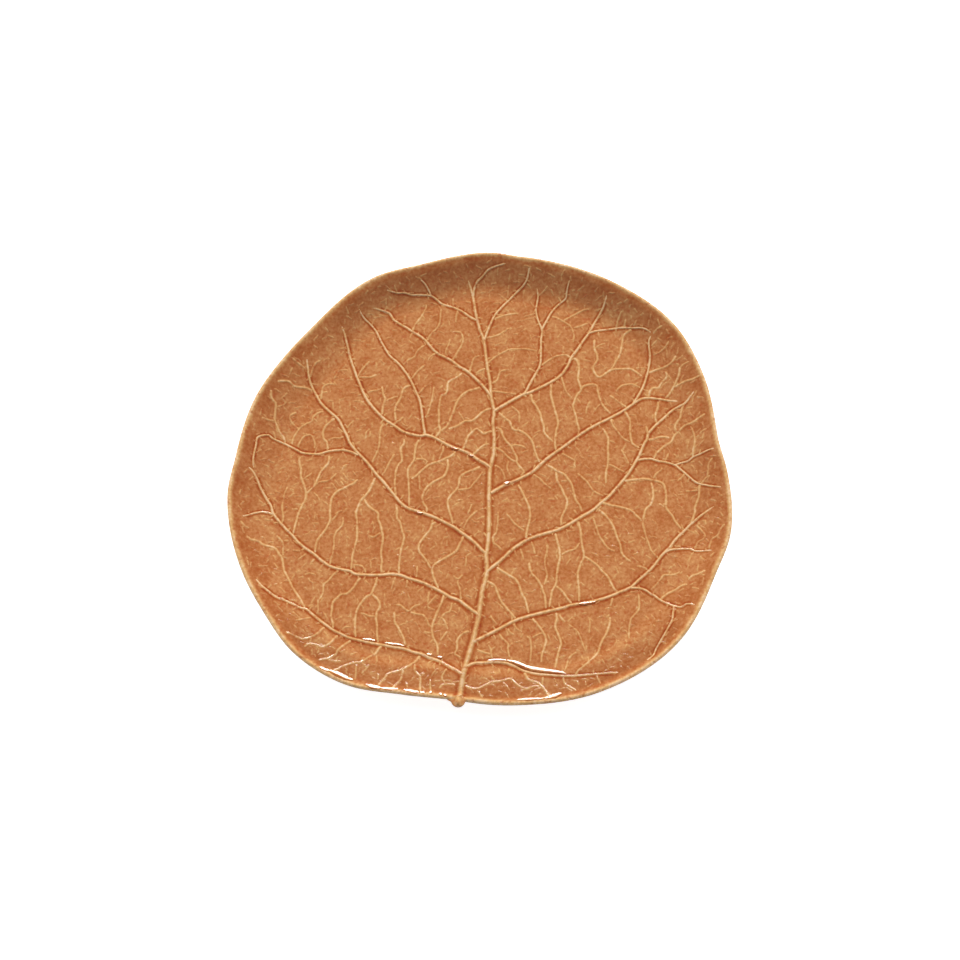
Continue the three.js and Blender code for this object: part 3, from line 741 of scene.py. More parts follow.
# Cross veins: threads of slip trailed from vein to vein, like rungs, and smoothed into the face.
# The glaze leaves them pale on top, with a thin rust line beside them. They fade at their free ends.
# Routes are in pixels of the photograph. A grade has half widths in mm at the start and end, and paleness.
STRONG_RUNGS = [
    [(573, 357), (577, 361), (579, 368), (578, 379), (581, 389), (577, 395), (574, 402), (573, 407),
     (576, 416), (577, 422), (580, 432)],
    [(595, 338), (594, 347), (597, 355), (597, 361), (593, 368), (599, 377), (611, 370), (621, 369),
     (631, 369), (636, 372), (643, 377)],
    [(632, 329), (624, 335), (622, 344), (620, 354), (616, 361), (611, 370)],
    [(648, 373), (656, 370), (665, 367), (672, 362), (676, 355)],
    [(313, 391), (306, 388), (298, 387), (294, 386), (290, 382), (286, 381), (277, 381)],
    [(271, 389), (271, 396), (273, 400), (276, 404), (275, 414), (275, 421), (277, 426), (279, 431),
     (284, 438), (285, 444)],
    [(335, 418), (330, 422), (325, 427), (323, 433), (324, 439), (327, 442), (328, 450)],
    [(329, 455), (329, 461), (328, 464), (324, 468), (321, 472), (318, 478), (314, 486), (310, 490),
     (306, 494)],
    [(301, 455), (299, 461), (301, 469), (301, 476), (303, 482), (305, 488), (306, 494), (305, 500),
     (302, 506), (299, 512), (297, 519), (295, 526), (293, 535)],
    [(411, 385), (404, 388), (402, 393), (400, 399), (396, 406), (395, 413), (396, 421)],
    [(382, 386), (383, 393), (385, 399), (383, 406), (382, 415)],
    [(435, 438), (440, 431), (439, 425), (439, 417), (439, 408), (441, 396), (445, 394), (447, 391),
     (448, 383), (451, 380), (457, 377), (463, 372)],
    [(440, 431), (445, 428), (448, 424), (451, 418), (454, 410), (457, 402), (461, 396), (468, 391),
     (475, 389), (481, 387)],
    [(448, 429), (457, 426), (465, 421), (471, 421), (477, 417), (481, 413), (486, 410), (492, 408)],
    [(462, 450), (465, 445), (467, 439), (469, 435), (476, 429), (480, 431), (484, 434), (488, 432),
     (493, 431)],
    [(473, 455), (478, 450), (484, 445), (490, 444)],
    [(420, 439), (417, 443), (415, 451), (414, 460), (411, 464), (408, 469), (408, 476), (409, 490),
     (409, 507)],
    [(456, 451), (451, 456), (446, 458), (440, 461), (433, 463), (427, 466), (421, 471), (416, 476),
     (411, 479)],
    [(447, 458), (448, 464), (447, 470), (444, 476), (439, 479), (433, 482), (427, 487), (424, 492),
     (422, 498), (424, 504), (427, 509), (426, 513)],
    [(404, 438), (404, 444), (401, 447), (401, 452), (402, 461), (399, 464), (396, 471), (395, 479),
     (395, 487), (396, 499)],
    [(481, 466), (473, 470), (465, 473), (460, 477), (459, 483), (457, 489), (451, 495), (448, 500),
     (448, 506), (450, 513), (452, 520), (453, 525)],
    [(376, 476), (372, 485), (369, 491), (364, 497), (361, 500), (358, 507), (356, 513), (357, 521),
     (357, 530), (357, 538), (355, 546), (353, 553), (352, 560), (351, 571)],
    [(364, 498), (367, 504), (372, 509), (378, 513), (378, 519), (380, 524), (382, 531), (383, 538),
     (382, 545), (381, 553), (382, 561), (381, 568), (382, 574)],
    [(396, 503), (397, 511), (397, 518), (400, 522), (402, 531), (404, 536), (403, 543), (401, 549),
     (400, 556), (399, 564), (399, 575)],
    [(359, 478), (354, 483), (348, 486), (342, 489), (338, 491), (333, 496), (331, 501), (330, 510),
     (330, 520), (327, 527), (323, 533), (318, 539), (316, 545), (315, 554)],
    [(463, 535), (462, 540), (459, 545), (457, 550), (452, 554), (445, 558), (438, 562), (433, 566),
     (432, 570), (433, 575), (435, 581), (439, 589)],
    [(437, 522), (432, 524), (431, 528), (427, 533), (424, 537), (421, 541), (419, 545), (419, 551),
     (422, 555), (426, 560), (429, 565), (432, 569)],
    [(377, 576), (376, 583), (373, 590), (371, 594), (366, 597), (359, 606), (356, 614), (355, 622),
     (355, 630), (356, 638)],
    [(372, 594), (378, 600), (380, 606), (377, 612), (376, 618), (377, 625), (377, 634), (378, 643)],
    [(361, 577), (357, 582), (354, 587), (350, 591), (346, 594), (342, 594), (338, 597), (333, 602),
     (332, 609), (331, 617), (333, 624), (333, 629)],
    [(246, 534), (250, 539), (258, 541), (264, 545), (272, 547), (276, 549), (279, 554), (282, 558),
     (284, 569), (287, 576), (290, 582), (294, 590), (299, 597), (303, 604), (306, 609)],
    [(394, 611), (395, 622), (398, 627), (401, 633), (404, 639), (405, 646)],
    [(444, 594), (442, 601), (439, 608), (436, 615), (433, 623), (432, 630), (433, 637), (437, 645),
     (438, 656)],
    [(470, 631), (462, 634), (457, 641), (457, 649), (455, 654), (461, 657)],
    [(325, 627), (322, 629), (318, 633), (313, 636), (308, 638), (302, 639), (297, 637), (291, 634),
     (285, 632)],
    [(338, 635), (334, 639), (330, 643), (323, 647), (317, 645), (309, 644), (304, 647)],
    [(351, 640), (344, 645), (338, 650), (336, 654), (331, 657), (326, 659), (318, 660)],
    [(382, 645), (378, 650), (375, 654), (369, 657), (361, 662), (353, 663), (344, 666), (338, 669),
     (332, 671)],
    [(420, 655), (416, 661), (410, 665), (403, 669), (395, 672), (388, 674), (383, 680), (378, 685)],
    [(403, 669), (402, 675), (399, 682), (392, 688)],
    [(415, 664), (415, 671), (420, 677), (420, 685), (420, 692)],
    [(464, 685), (470, 688), (476, 689), (480, 688), (486, 685), (493, 682), (502, 681), (510, 679),
     (515, 683), (519, 686), (526, 689), (532, 687), (541, 686)],
    [(524, 672), (528, 679), (532, 681), (538, 683), (542, 687), (546, 692), (550, 698)],
    [(531, 393), (532, 400), (536, 406), (540, 413), (542, 421), (544, 427), (544, 432), (549, 438),
     (554, 442)],
    [(551, 383), (551, 396), (553, 403), (555, 411), (557, 417), (558, 424), (556, 432), (555, 444),
     (556, 451)],
    [(581, 389), (586, 385), (596, 385), (598, 392), (601, 402), (604, 407), (611, 414)],
    [(498, 412), (506, 419), (510, 422), (513, 429), (521, 431), (528, 436), (532, 441), (534, 447),
     (536, 454), (540, 463)],
    [(495, 427), (501, 430), (503, 436), (507, 442), (511, 446), (514, 452), (517, 458), (517, 463),
     (525, 472)],
    [(545, 464), (551, 467), (557, 471), (564, 474), (568, 479), (572, 485), (574, 493), (576, 500),
     (580, 506), (582, 512)],
    [(556, 471), (557, 480), (561, 487), (564, 494), (567, 500), (566, 508), (563, 514), (561, 520),
     (562, 526)],
    [(602, 428), (605, 432), (608, 438), (608, 447), (608, 463), (606, 472), (606, 484)],
    [(624, 411), (628, 416), (630, 422), (630, 431), (631, 439), (633, 444), (640, 448)],
    [(658, 401), (658, 406), (656, 413), (655, 418), (657, 423)],
    [(649, 397), (650, 391), (653, 388), (658, 388), (661, 384), (663, 381), (667, 376), (665, 371)],
    [(665, 399), (670, 393), (673, 388), (676, 382), (679, 374), (680, 366)],
    [(672, 388), (680, 384), (686, 381), (693, 379), (700, 375)],
    [(648, 440), (653, 439), (659, 437), (665, 437), (670, 438)],
    [(654, 459), (656, 454), (661, 449), (666, 445), (671, 442), (674, 436), (677, 433), (684, 426),
     (691, 423), (696, 420), (700, 417), (706, 413)],
    [(677, 433), (675, 427), (677, 422), (680, 418), (681, 413), (683, 406), (685, 402)],
    [(518, 484), (522, 492), (526, 500), (529, 507), (530, 514), (529, 523), (527, 530), (526, 540)],
    [(601, 502), (610, 505), (620, 507), (630, 510), (636, 515), (642, 521)],
    [(598, 509), (605, 515), (610, 521), (614, 528), (617, 537), (620, 544), (621, 551), (623, 555),
     (627, 559), (632, 562)],
    [(578, 520), (580, 528), (581, 536), (582, 545), (584, 556), (581, 563), (578, 572), (578, 581),
     (579, 590), (579, 603)],
    [(584, 556), (590, 560), (597, 565), (602, 571), (608, 577), (612, 585), (617, 593)],
    [(555, 532), (557, 540), (559, 548), (560, 557), (558, 566), (557, 574), (556, 583), (555, 586),
     (552, 591), (551, 597), (549, 608)],
    [(556, 586), (562, 591), (567, 598), (572, 604)],
    [(529, 562), (530, 569), (532, 574), (537, 579), (541, 585), (543, 591), (545, 597), (546, 609)],
    [(496, 567), (502, 571), (507, 574), (512, 577), (517, 581), (520, 588), (522, 594), (525, 599),
     (527, 606), (529, 614)],
    [(486, 581), (491, 583), (495, 586), (497, 591), (500, 599), (504, 605), (510, 612), (516, 619)],
    [(643, 520), (644, 515), (646, 509), (651, 504), (653, 497), (653, 490), (651, 482)],
    [(623, 481), (631, 480), (643, 479), (652, 480), (662, 483), (665, 488), (666, 495), (666, 506),
     (668, 511), (672, 515), (675, 521), (679, 526), (682, 530)],
    [(700, 484), (699, 489), (699, 496), (697, 502), (695, 507), (695, 512), (693, 518), (691, 524)],
    [(532, 618), (537, 624), (541, 629), (545, 636), (546, 642), (544, 649), (542, 655), (541, 663)],
    [(556, 612), (557, 619), (555, 626), (558, 634), (561, 643), (559, 650), (557, 659), (555, 668)],
    [(610, 616), (610, 621), (608, 629), (605, 636), (601, 643), (599, 650), (596, 655), (591, 660),
     (585, 665), (578, 671), (575, 676)],
    [(660, 600), (667, 594), (675, 590), (681, 586), (688, 584)],
    [(688, 580), (692, 576), (698, 574), (706, 570)],
]
MEDIUM_RUNGS = [
    [(412, 332), (415, 325), (421, 317), (425, 310), (427, 304)],
    [(427, 341), (431, 334), (437, 328), (440, 321), (441, 308)],
    [(453, 307), (453, 297)], [(458, 310), (456, 317), (456, 323)],
    [(425, 345), (418, 350), (414, 357), (408, 360), (403, 365)],
    [(426, 364), (420, 369), (415, 374), (412, 379)],
    [(452, 361), (458, 351), (462, 344), (463, 338), (460, 332), (452, 332)],
    [(480, 355), (474, 358), (472, 363), (469, 374)], [(370, 361), (366, 365), (361, 371), (358, 377)],
    [(291, 357), (297, 362), (306, 369)], [(321, 360), (316, 363), (313, 368), (310, 378)],
    [(494, 319), (506, 315), (519, 313)], [(486, 338), (498, 335), (508, 329), (513, 328)],
    [(487, 364), (495, 357), (508, 350), (515, 349), (526, 349), (538, 351)],
    [(551, 316), (561, 320), (571, 327), (574, 336), (573, 343)],
    [(563, 321), (576, 314), (584, 310), (590, 309)], [(573, 328), (581, 326), (588, 323)],
    [(541, 366), (549, 360), (557, 356), (566, 355), (571, 358)],
    [(616, 328), (618, 320), (622, 310)], [(624, 327), (626, 318)], [(633, 327), (637, 319)],
    [(653, 334), (657, 329), (663, 325)], [(653, 355), (660, 352), (666, 346), (669, 340)],
    [(275, 421), (269, 420), (261, 417)], [(297, 412), (290, 416), (291, 421), (294, 425), (300, 430)],
    [(324, 411), (318, 413), (313, 417), (312, 421), (306, 424), (300, 428), (295, 435), (293, 439),
     (292, 445)],
    [(298, 448), (299, 444), (302, 439), (305, 436), (311, 435), (314, 440), (315, 445), (314, 449)],
    [(328, 441), (333, 438), (340, 438), (344, 436)],
    [(321, 400), (322, 392), (323, 387), (328, 384), (335, 384)],
    [(342, 470), (344, 466), (350, 464)], [(314, 485), (320, 482), (329, 480), (337, 473)],
    [(358, 377), (364, 377), (371, 377), (377, 374)], [(367, 393), (371, 391), (378, 390), (382, 388)],
    [(386, 401), (392, 398), (399, 396)], [(393, 426), (396, 422), (400, 420), (404, 416)],
    [(418, 394), (422, 390), (426, 385)],
    [(425, 418), (428, 413), (430, 406), (432, 400), (433, 393), (434, 386)],
    [(476, 374), (479, 371), (486, 368)], [(415, 459), (422, 459), (427, 461), (425, 465)],
    [(443, 445), (443, 450), (441, 455), (439, 460)],
    [(395, 453), (392, 458), (389, 463), (387, 467), (385, 471), (382, 476)],
    [(383, 424), (381, 428), (380, 434), (379, 446), (377, 452), (374, 458), (372, 463)],
    [(370, 428), (366, 433), (366, 439)], [(419, 475), (420, 490)],
    [(457, 490), (465, 489), (470, 488), (474, 483), (477, 480), (483, 471)],
    [(472, 503), (470, 509), (467, 515)], [(478, 510), (470, 517), (466, 523), (463, 529)],
    [(331, 521), (336, 516), (338, 512), (343, 510)],
    [(343, 516), (343, 523), (341, 527), (337, 531), (334, 537), (334, 545), (333, 552), (331, 558),
     (330, 565)],
    [(291, 509), (299, 509)], [(283, 501), (282, 507), (283, 514), (283, 520), (281, 524)],
    [(367, 534), (373, 537), (381, 532)], [(352, 565), (358, 565), (363, 567), (366, 573)],
    [(417, 565), (417, 572), (416, 578)], [(466, 555), (466, 561), (465, 567)],
    [(306, 553), (303, 556), (297, 560)], [(315, 558), (310, 564)], [(292, 550), (301, 551)],
    [(360, 613), (365, 614), (369, 616), (376, 616)],
    [(339, 570), (333, 575), (328, 581), (324, 584), (323, 592), (321, 597), (318, 601), (318, 608),
     (318, 615)],
    [(240, 520), (245, 526), (250, 528)], [(276, 535), (280, 539), (283, 543), (283, 550), (283, 556)],
    [(395, 605), (400, 605), (405, 609), (409, 611), (413, 607), (417, 605), (421, 604)],
    [(410, 612), (417, 614), (423, 615), (427, 620), (429, 625), (433, 627)],
    [(437, 617), (442, 618), (445, 622), (448, 630)], [(441, 618), (445, 613), (450, 611), (452, 602)],
    [(448, 630), (443, 637), (440, 641)], [(438, 594), (432, 600), (428, 605), (429, 608), (436, 610)],
    [(453, 575), (458, 579), (463, 574)], [(458, 579), (458, 584), (460, 589), (461, 600)],
    [(423, 632), (432, 633)], [(407, 579), (407, 585), (405, 588)], [(328, 659), (333, 661), (342, 661)],
    [(356, 664), (356, 672), (355, 680)], [(370, 664), (366, 669), (361, 674)],
    [(439, 668), (434, 672), (431, 677)], [(430, 679), (430, 685), (431, 691)],
    [(447, 668), (443, 674), (442, 678), (445, 683)], [(439, 689), (442, 685), (448, 684), (456, 685)],
    [(295, 620), (303, 619), (312, 617)],
    [(491, 384), (497, 380), (500, 372), (505, 370), (510, 369)],
    [(491, 391), (501, 392), (507, 393), (517, 394)], [(528, 368), (536, 372)],
    [(561, 376), (563, 382), (566, 391), (572, 398)], [(590, 401), (587, 407), (586, 414)],
    [(609, 395), (615, 399), (623, 405), (627, 407)],
    [(616, 392), (621, 386), (631, 384), (637, 386), (641, 388)],
    [(511, 406), (519, 413), (519, 423)], [(511, 446), (516, 445), (522, 446), (527, 449)],
    [(494, 447), (502, 451), (507, 456), (512, 460), (517, 462)],
    [(509, 460), (507, 466), (508, 471), (511, 476)], [(494, 465), (501, 469), (504, 475), (505, 480)],
    [(561, 453), (567, 456), (575, 461), (574, 464), (576, 468)],
    [(533, 474), (540, 479), (545, 484), (552, 489)],
    [(577, 473), (584, 479), (588, 483), (592, 489), (597, 493), (604, 496)],
    [(608, 464), (615, 467), (620, 470), (625, 472)],
    [(611, 418), (612, 423), (614, 427), (618, 432), (623, 438), (628, 441), (631, 442)],
    [(621, 449), (625, 456), (629, 464)], [(573, 509), (578, 515)], [(646, 425), (648, 433)],
    [(693, 457), (693, 450), (695, 441), (693, 431), (690, 426)], [(665, 461), (669, 452)],
    [(525, 531), (519, 527), (514, 523), (511, 519), (506, 513)],
    [(593, 517), (595, 523), (599, 535), (602, 540), (606, 546), (611, 550), (616, 551)],
    [(561, 555), (568, 551), (575, 549), (580, 542)],
    [(547, 544), (547, 551), (545, 558), (545, 566), (547, 574), (546, 580), (544, 585)],
    [(531, 541), (534, 549), (535, 555)], [(520, 548), (524, 560)],
    [(498, 511), (498, 520), (497, 528), (496, 533), (493, 537), (494, 543), (498, 546), (502, 550)],
    [(490, 614), (493, 620), (498, 625)],
    [(643, 521), (643, 526), (645, 532), (646, 537), (649, 544), (651, 550), (655, 555), (659, 558)],
    [(658, 503), (665, 507)], [(653, 479), (656, 474), (661, 470), (662, 467)],
    [(685, 491), (692, 491), (699, 490)], [(685, 473), (681, 478), (677, 481)],
    [(701, 484), (706, 478), (711, 475)], [(707, 477), (708, 469), (709, 463), (713, 457)],
    [(696, 525), (700, 529), (705, 535), (703, 539), (698, 542), (696, 546), (694, 549)],
    [(725, 523), (720, 530), (718, 535), (712, 539), (710, 544), (709, 549)],
    [(513, 623), (517, 629), (523, 632)], [(559, 614), (562, 619), (566, 622)], [(613, 597), (610, 607)],
    [(564, 672), (567, 665), (568, 660), (572, 655), (577, 652)],
    [(526, 636), (530, 639), (531, 645), (531, 652), (530, 662)],
    [(531, 638), (539, 634), (544, 633)], [(499, 633), (502, 638), (508, 644), (508, 650), (510, 658)],
    [(507, 628), (511, 633), (515, 634)], [(488, 644), (491, 650), (491, 655), (493, 659)],
    [(476, 649), (483, 652), (491, 654)], [(477, 690), (483, 698)], [(543, 676), (542, 686)],
    [(563, 677), (565, 684), (570, 687), (577, 691)], [(596, 675), (599, 681), (601, 684)],
    [(651, 590), (656, 585), (660, 580), (664, 575), (670, 575), (676, 574), (680, 571)],
    [(648, 570), (643, 567), (636, 566)],
    [(638, 592), (639, 600), (639, 609), (635, 614), (631, 619), (630, 624), (629, 631), (629, 639)],
]
FAINT_RUNGS = [
    [(436, 353), (430, 357), (428, 361)], [(450, 338), (449, 344), (446, 350), (446, 356)],
    [(327, 335), (335, 338)], [(386, 297), (386, 306)], [(508, 299), (508, 291), (509, 284)],
    [(523, 317), (530, 315), (536, 313)], [(486, 359), (493, 357)], [(538, 296), (543, 292), (548, 285)],
    [(584, 310), (585, 304)], [(594, 349), (600, 345), (606, 343)], [(651, 347), (655, 342), (658, 339)],
    [(679, 369), (684, 364), (690, 361)], [(635, 368), (648, 368)], [(276, 407), (283, 405), (287, 401)],
    [(281, 399), (288, 392)], [(313, 418), (318, 422)], [(333, 380), (337, 374), (340, 370), (349, 370)],
    [(333, 401), (333, 408)], [(347, 429), (350, 424), (354, 421)], [(342, 472), (349, 481)],
    [(353, 470), (354, 473), (358, 477)], [(303, 479), (308, 476), (313, 472)], [(346, 380), (354, 379)],
    [(401, 421), (404, 425), (409, 426)], [(442, 388), (447, 391)], [(464, 421), (462, 417), (458, 411)],
    [(467, 433), (467, 428)], [(480, 380), (484, 376)], [(382, 466), (386, 469)], [(378, 453), (384, 457)],
    [(447, 491), (451, 494)], [(446, 481), (442, 486)], [(471, 518), (475, 522), (480, 521)],
    [(480, 520), (485, 526)], [(484, 457), (489, 454)], [(331, 482), (337, 490)], [(340, 480), (344, 486)],
    [(307, 514), (310, 520)], [(311, 523), (320, 523)], [(317, 513), (317, 521)], [(311, 503), (311, 508)],
    [(313, 492), (318, 497), (320, 501)], [(325, 492), (330, 496)],
    [(288, 486), (286, 490), (284, 495), (284, 500)], [(272, 497), (278, 502)],
    [(258, 499), (263, 503), (267, 505)], [(432, 524), (432, 519)], [(423, 527), (423, 533)],
    [(447, 539), (447, 547)], [(417, 515), (417, 519)], [(372, 520), (375, 530)], [(355, 549), (358, 552)],
    [(368, 554), (374, 554)], [(370, 558), (371, 569)], [(466, 556), (472, 552)], [(283, 541), (290, 540)],
    [(387, 603), (392, 606)], [(429, 591), (428, 604)], [(450, 610), (455, 612), (458, 614), (460, 606)],
    [(458, 650), (464, 652)], [(419, 584), (416, 589)], [(394, 580), (391, 590)], [(403, 590), (402, 595)],
    [(308, 577), (311, 582), (317, 582)], [(301, 581), (304, 584)], [(331, 582), (335, 585)],
    [(304, 575), (309, 573), (317, 575)], [(274, 562), (276, 566), (279, 569)],
    [(257, 565), (262, 566), (269, 565)], [(254, 556), (260, 555)], [(272, 555), (276, 557)],
    [(271, 572), (276, 575)], [(247, 559), (249, 566)], [(279, 584), (283, 582)], [(276, 590), (279, 588)],
    [(342, 630), (345, 627), (352, 627)], [(323, 612), (327, 617)], [(308, 606), (314, 604)],
    [(376, 655), (377, 661), (375, 664)], [(378, 673), (378, 680)], [(421, 677), (425, 672)],
    [(405, 681), (408, 688)], [(436, 662), (432, 667)], [(292, 611), (299, 617)], [(293, 624), (298, 629)],
    [(321, 637), (324, 640)], [(331, 646), (336, 650)], [(314, 653), (316, 658)], [(319, 649), (317, 654)],
    [(305, 630), (310, 633)], [(492, 379), (497, 376)], [(505, 395), (509, 398)], [(601, 403), (594, 411)],
    [(518, 426), (518, 430)], [(532, 438), (539, 433)], [(640, 406), (641, 411)], [(657, 379), (661, 380)],
    [(677, 373), (672, 375)], [(695, 438), (698, 436), (702, 431), (708, 428)], [(678, 458), (673, 453)],
    [(663, 408), (669, 409)], [(566, 565), (571, 558)], [(490, 587), (495, 586)], [(672, 515), (675, 510)],
    [(677, 495), (685, 494)], [(706, 525), (705, 519)], [(651, 536), (658, 538)], [(640, 536), (646, 540)],
    [(603, 538), (609, 532)], [(554, 495), (558, 500)], [(541, 629), (545, 625)],
    [(568, 624), (577, 631), (581, 639), (583, 645), (586, 652)], [(589, 617), (590, 625), (589, 634)],
    [(493, 634), (496, 640)], [(486, 645), (491, 641)], [(496, 646), (491, 650)], [(476, 656), (478, 660)],
    [(481, 656), (484, 660)], [(520, 657), (521, 662)], [(491, 675), (493, 680)], [(593, 669), (594, 674)],
    [(577, 680), (579, 686)], [(585, 680), (586, 686)], [(502, 682), (506, 685), (510, 691)],
    [(644, 567), (644, 563)], [(652, 575), (656, 579)], [(652, 624), (656, 627)], [(691, 587), (700, 589)],
    [(606, 664), (609, 670)], [(601, 658), (605, 664)],
]
RUNG_GRADES = [
    (0.82, 0.72, 0.78, STRONG_RUNGS), (0.68, 0.6, 0.62, MEDIUM_RUNGS), (0.58, 0.5, 0.5, FAINT_RUNGS),
]
RUNG_STEPS = [0.35, 0.7, 1.0]
RUNG_POOL, RUNG_SPREAD = 0.2, 0.7
RUNG_CREST, RUNG_TAIL = 0.3, 0.05
rung_side = coil_side(RUNG_STEPS, RUNG_POOL, RUNG_SPREAD)
rung = coil_section("rung_section", rung_side, rung_side)
rungs = laid_routes("rung_routes", RUNG_GRADES)
piece = grown(
    vein_tree, rungs, "cross_veins", section=rung, face=leaf, step=VEIN_STEP, crest=RUNG_CREST,
    head=0.0, tail=RUNG_TAIL, sink=VEIN_SINK, glaze=glaze,
)
bpy.data.objects.remove(rung)
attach(piece, "root")

# Veinlets: the finest net of the leaf, short strokes pressed between the cross veins with a tool's edge.
# Each is a hair of raised clay that the glaze leaves a little paler. They are strewn with a fixed seed.
STROKE_RUNS = [
    [(-0.5, 0, 0), (-0.15, 0.1, 0), (0.15, 0, 0), (0.5, 0.15, 0)],
    [(0.15, 0, 0), (0.45, -0.25, 0)],
]
STROKE_SHORT, STROKE_LONG, STROKE_BEND = 2.2 * MM, 4.8 * MM, 5 * MM
STROKE_STEP = 0.8 * MM
STROKE_HALF_WIDTH = 0.42 * MM
STROKE_PALE = 0.3
STROKE_CREST, STROKE_TAIL = 0.3, 0.25
STROKE_SECTION = [(-1.4, -0.6), (-0.7, 0.35), (0, 1), (0.7, 0.35), (1.4, -0.6), (0, -1.6)]
STROKE_COVER = [0, 0.8, 1, 0.8, 0, 0]
STROKE_SPACING = 2.7 * MM
STROKE_DENSITY = 140000
STROKE_SEED = 7
STROKE_HIGHEST = 14 * MM
STROKE_FACING = 0.85
strew_tree, strew = new_tree("strewn strokes", {
    "Stroke": "Object", "Spacing": "Float", "Density": "Float", "Seed": "Int", "Least": "Vector",
    "Most": "Vector", "Highest": "Float", "Facing": "Float", "Glaze": "Material",
})
normal = add_node(strew_tree, "GeometryNodeInputNormal")
upward = add_node(strew_tree, "ShaderNodeSeparateXYZ", {0: normal})
on_top = add_node(strew_tree, "ShaderNodeMath", {
    0: upward.outputs["Z"], 1: strew["Facing"],
}, operation="GREATER_THAN")
position = add_node(strew_tree, "GeometryNodeInputPosition")
level = add_node(strew_tree, "ShaderNodeSeparateXYZ", {0: position})
off_lip = add_node(strew_tree, "ShaderNodeMath", {
    0: level.outputs["Z"], 1: strew["Highest"],
}, operation="LESS_THAN")
chosen = add_node(strew_tree, "ShaderNodeMath", {0: on_top, 1: off_lip}, operation="MULTIPLY")
spots = add_node(strew_tree, "GeometryNodeDistributePointsOnFaces", {
    "Mesh": strew["Geometry"], "Selection": chosen, "Distance Min": strew["Spacing"],
    "Density Max": strew["Density"], "Seed": strew["Seed"],
}, distribute_method="POISSON")
stroke_form = add_node(strew_tree, "GeometryNodeObjectInfo", {"Object": strew["Stroke"]})
turn = add_node(strew_tree, "FunctionNodeRandomValue", {
    0: (0, 0, 0), 1: (0, 0, 2 * math.pi), "Seed": strew["Seed"],
}, data_type="FLOAT_VECTOR")
size = add_node(strew_tree, "FunctionNodeRandomValue", {
    0: strew["Least"], 1: strew["Most"], "Seed": strew["Seed"],
}, data_type="FLOAT_VECTOR")
strokes = add_node(strew_tree, "GeometryNodeInstanceOnPoints", {
    "Points": spots.outputs["Points"], "Instance": stroke_form.outputs["Geometry"],
    "Rotation": turn, "Scale": size,
})
strokes = add_node(strew_tree, "GeometryNodeRealizeInstances", {0: strokes})
flat = add_node(strew_tree, "ShaderNodeVectorMath", {0: position, 1: (1, 1, 0)}, operation="MULTIPLY")
flat = add_node(strew_tree, "GeometryNodeSetPosition", {"Geometry": strokes, "Position": flat})
end_tree(strew_tree, flat, strew["Glaze"])
stroke_points = sum(len(run) for run in STROKE_RUNS)
stroke = polyline(
    "stroke", STROKE_RUNS, half_width=[STROKE_HALF_WIDTH] * stroke_points,
    pale=[STROKE_PALE] * stroke_points,
)
ground = leaf.copy()
scene.collection.objects.link(ground)
lines = grown(
    strew_tree, ground, "stroke_lines", stroke=stroke, spacing=STROKE_SPACING, density=STROKE_DENSITY,
    seed=STROKE_SEED, least=(STROKE_SHORT, -STROKE_BEND, 1), most=(STROKE_LONG, STROKE_BEND, 1),
    highest=STROKE_HIGHEST, facing=STROKE_FACING, glaze=glaze,
)
hair = polyline(
    "hair_section", [[(s, -h, 0) for s, h in STROKE_SECTION]], closed=True,
    thinness=[1.0] * len(STROKE_SECTION), cover=STROKE_COVER,
)
piece = grown(
    vein_tree, lines, "veinlets", section=hair, face=leaf, step=STROKE_STEP, crest=STROKE_CREST,
    head=0.0, tail=STROKE_TAIL, sink=VEIN_SINK, glaze=glaze,
)
for helper in (stroke, hair):
    bpy.data.objects.remove(helper)
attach(piece, "root")

# Stem stub: a short pinch of the same clay, pulled out of the lip where the leaf's stalk was cut.
# The midrib runs out onto it, its shoulders are smoothed into the lip and its end is rounded by sponging.
STEM_RINGS = 24
STEM_TOP_SIDES, STEM_UNDER_SIDES = 24, 12
STEM_OUT = 3.2 * MM
STEM_HALF, STEM_SHOULDER, STEM_RIB_HALF = 2.9 * MM, 1.8 * MM, 1.8 * MM
STEM_BLUNT, STEM_FILLET = 2.6, 7
STEM_RIB_RISE, STEM_SINK, STEM_BASE = 0.7 * MM, 0.1 * MM, 0.5 * MM
STEM_LIFT = (-0.4, 0.5)
STEM_PALE, STEM_SIDE = 0.55, 0.3
stem_low, stem_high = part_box("stem_stub")
stem_middle = (stem_low + stem_high) / 2
stem_sides = STEM_TOP_SIDES + STEM_UNDER_SIDES
lengths = [
    stem_high.y + (stem_low.y - stem_high.y) * math.sin(math.pi / 2 * ring / STEM_RINGS)
    for ring in range(STEM_RINGS)
]
grounds = [under(Vector((stem_middle.x, length, 0))) for length in lengths]
lip_level = max(ground.z for ground in grounds if ground)
points, faces, tones = [], [], []
level = 0
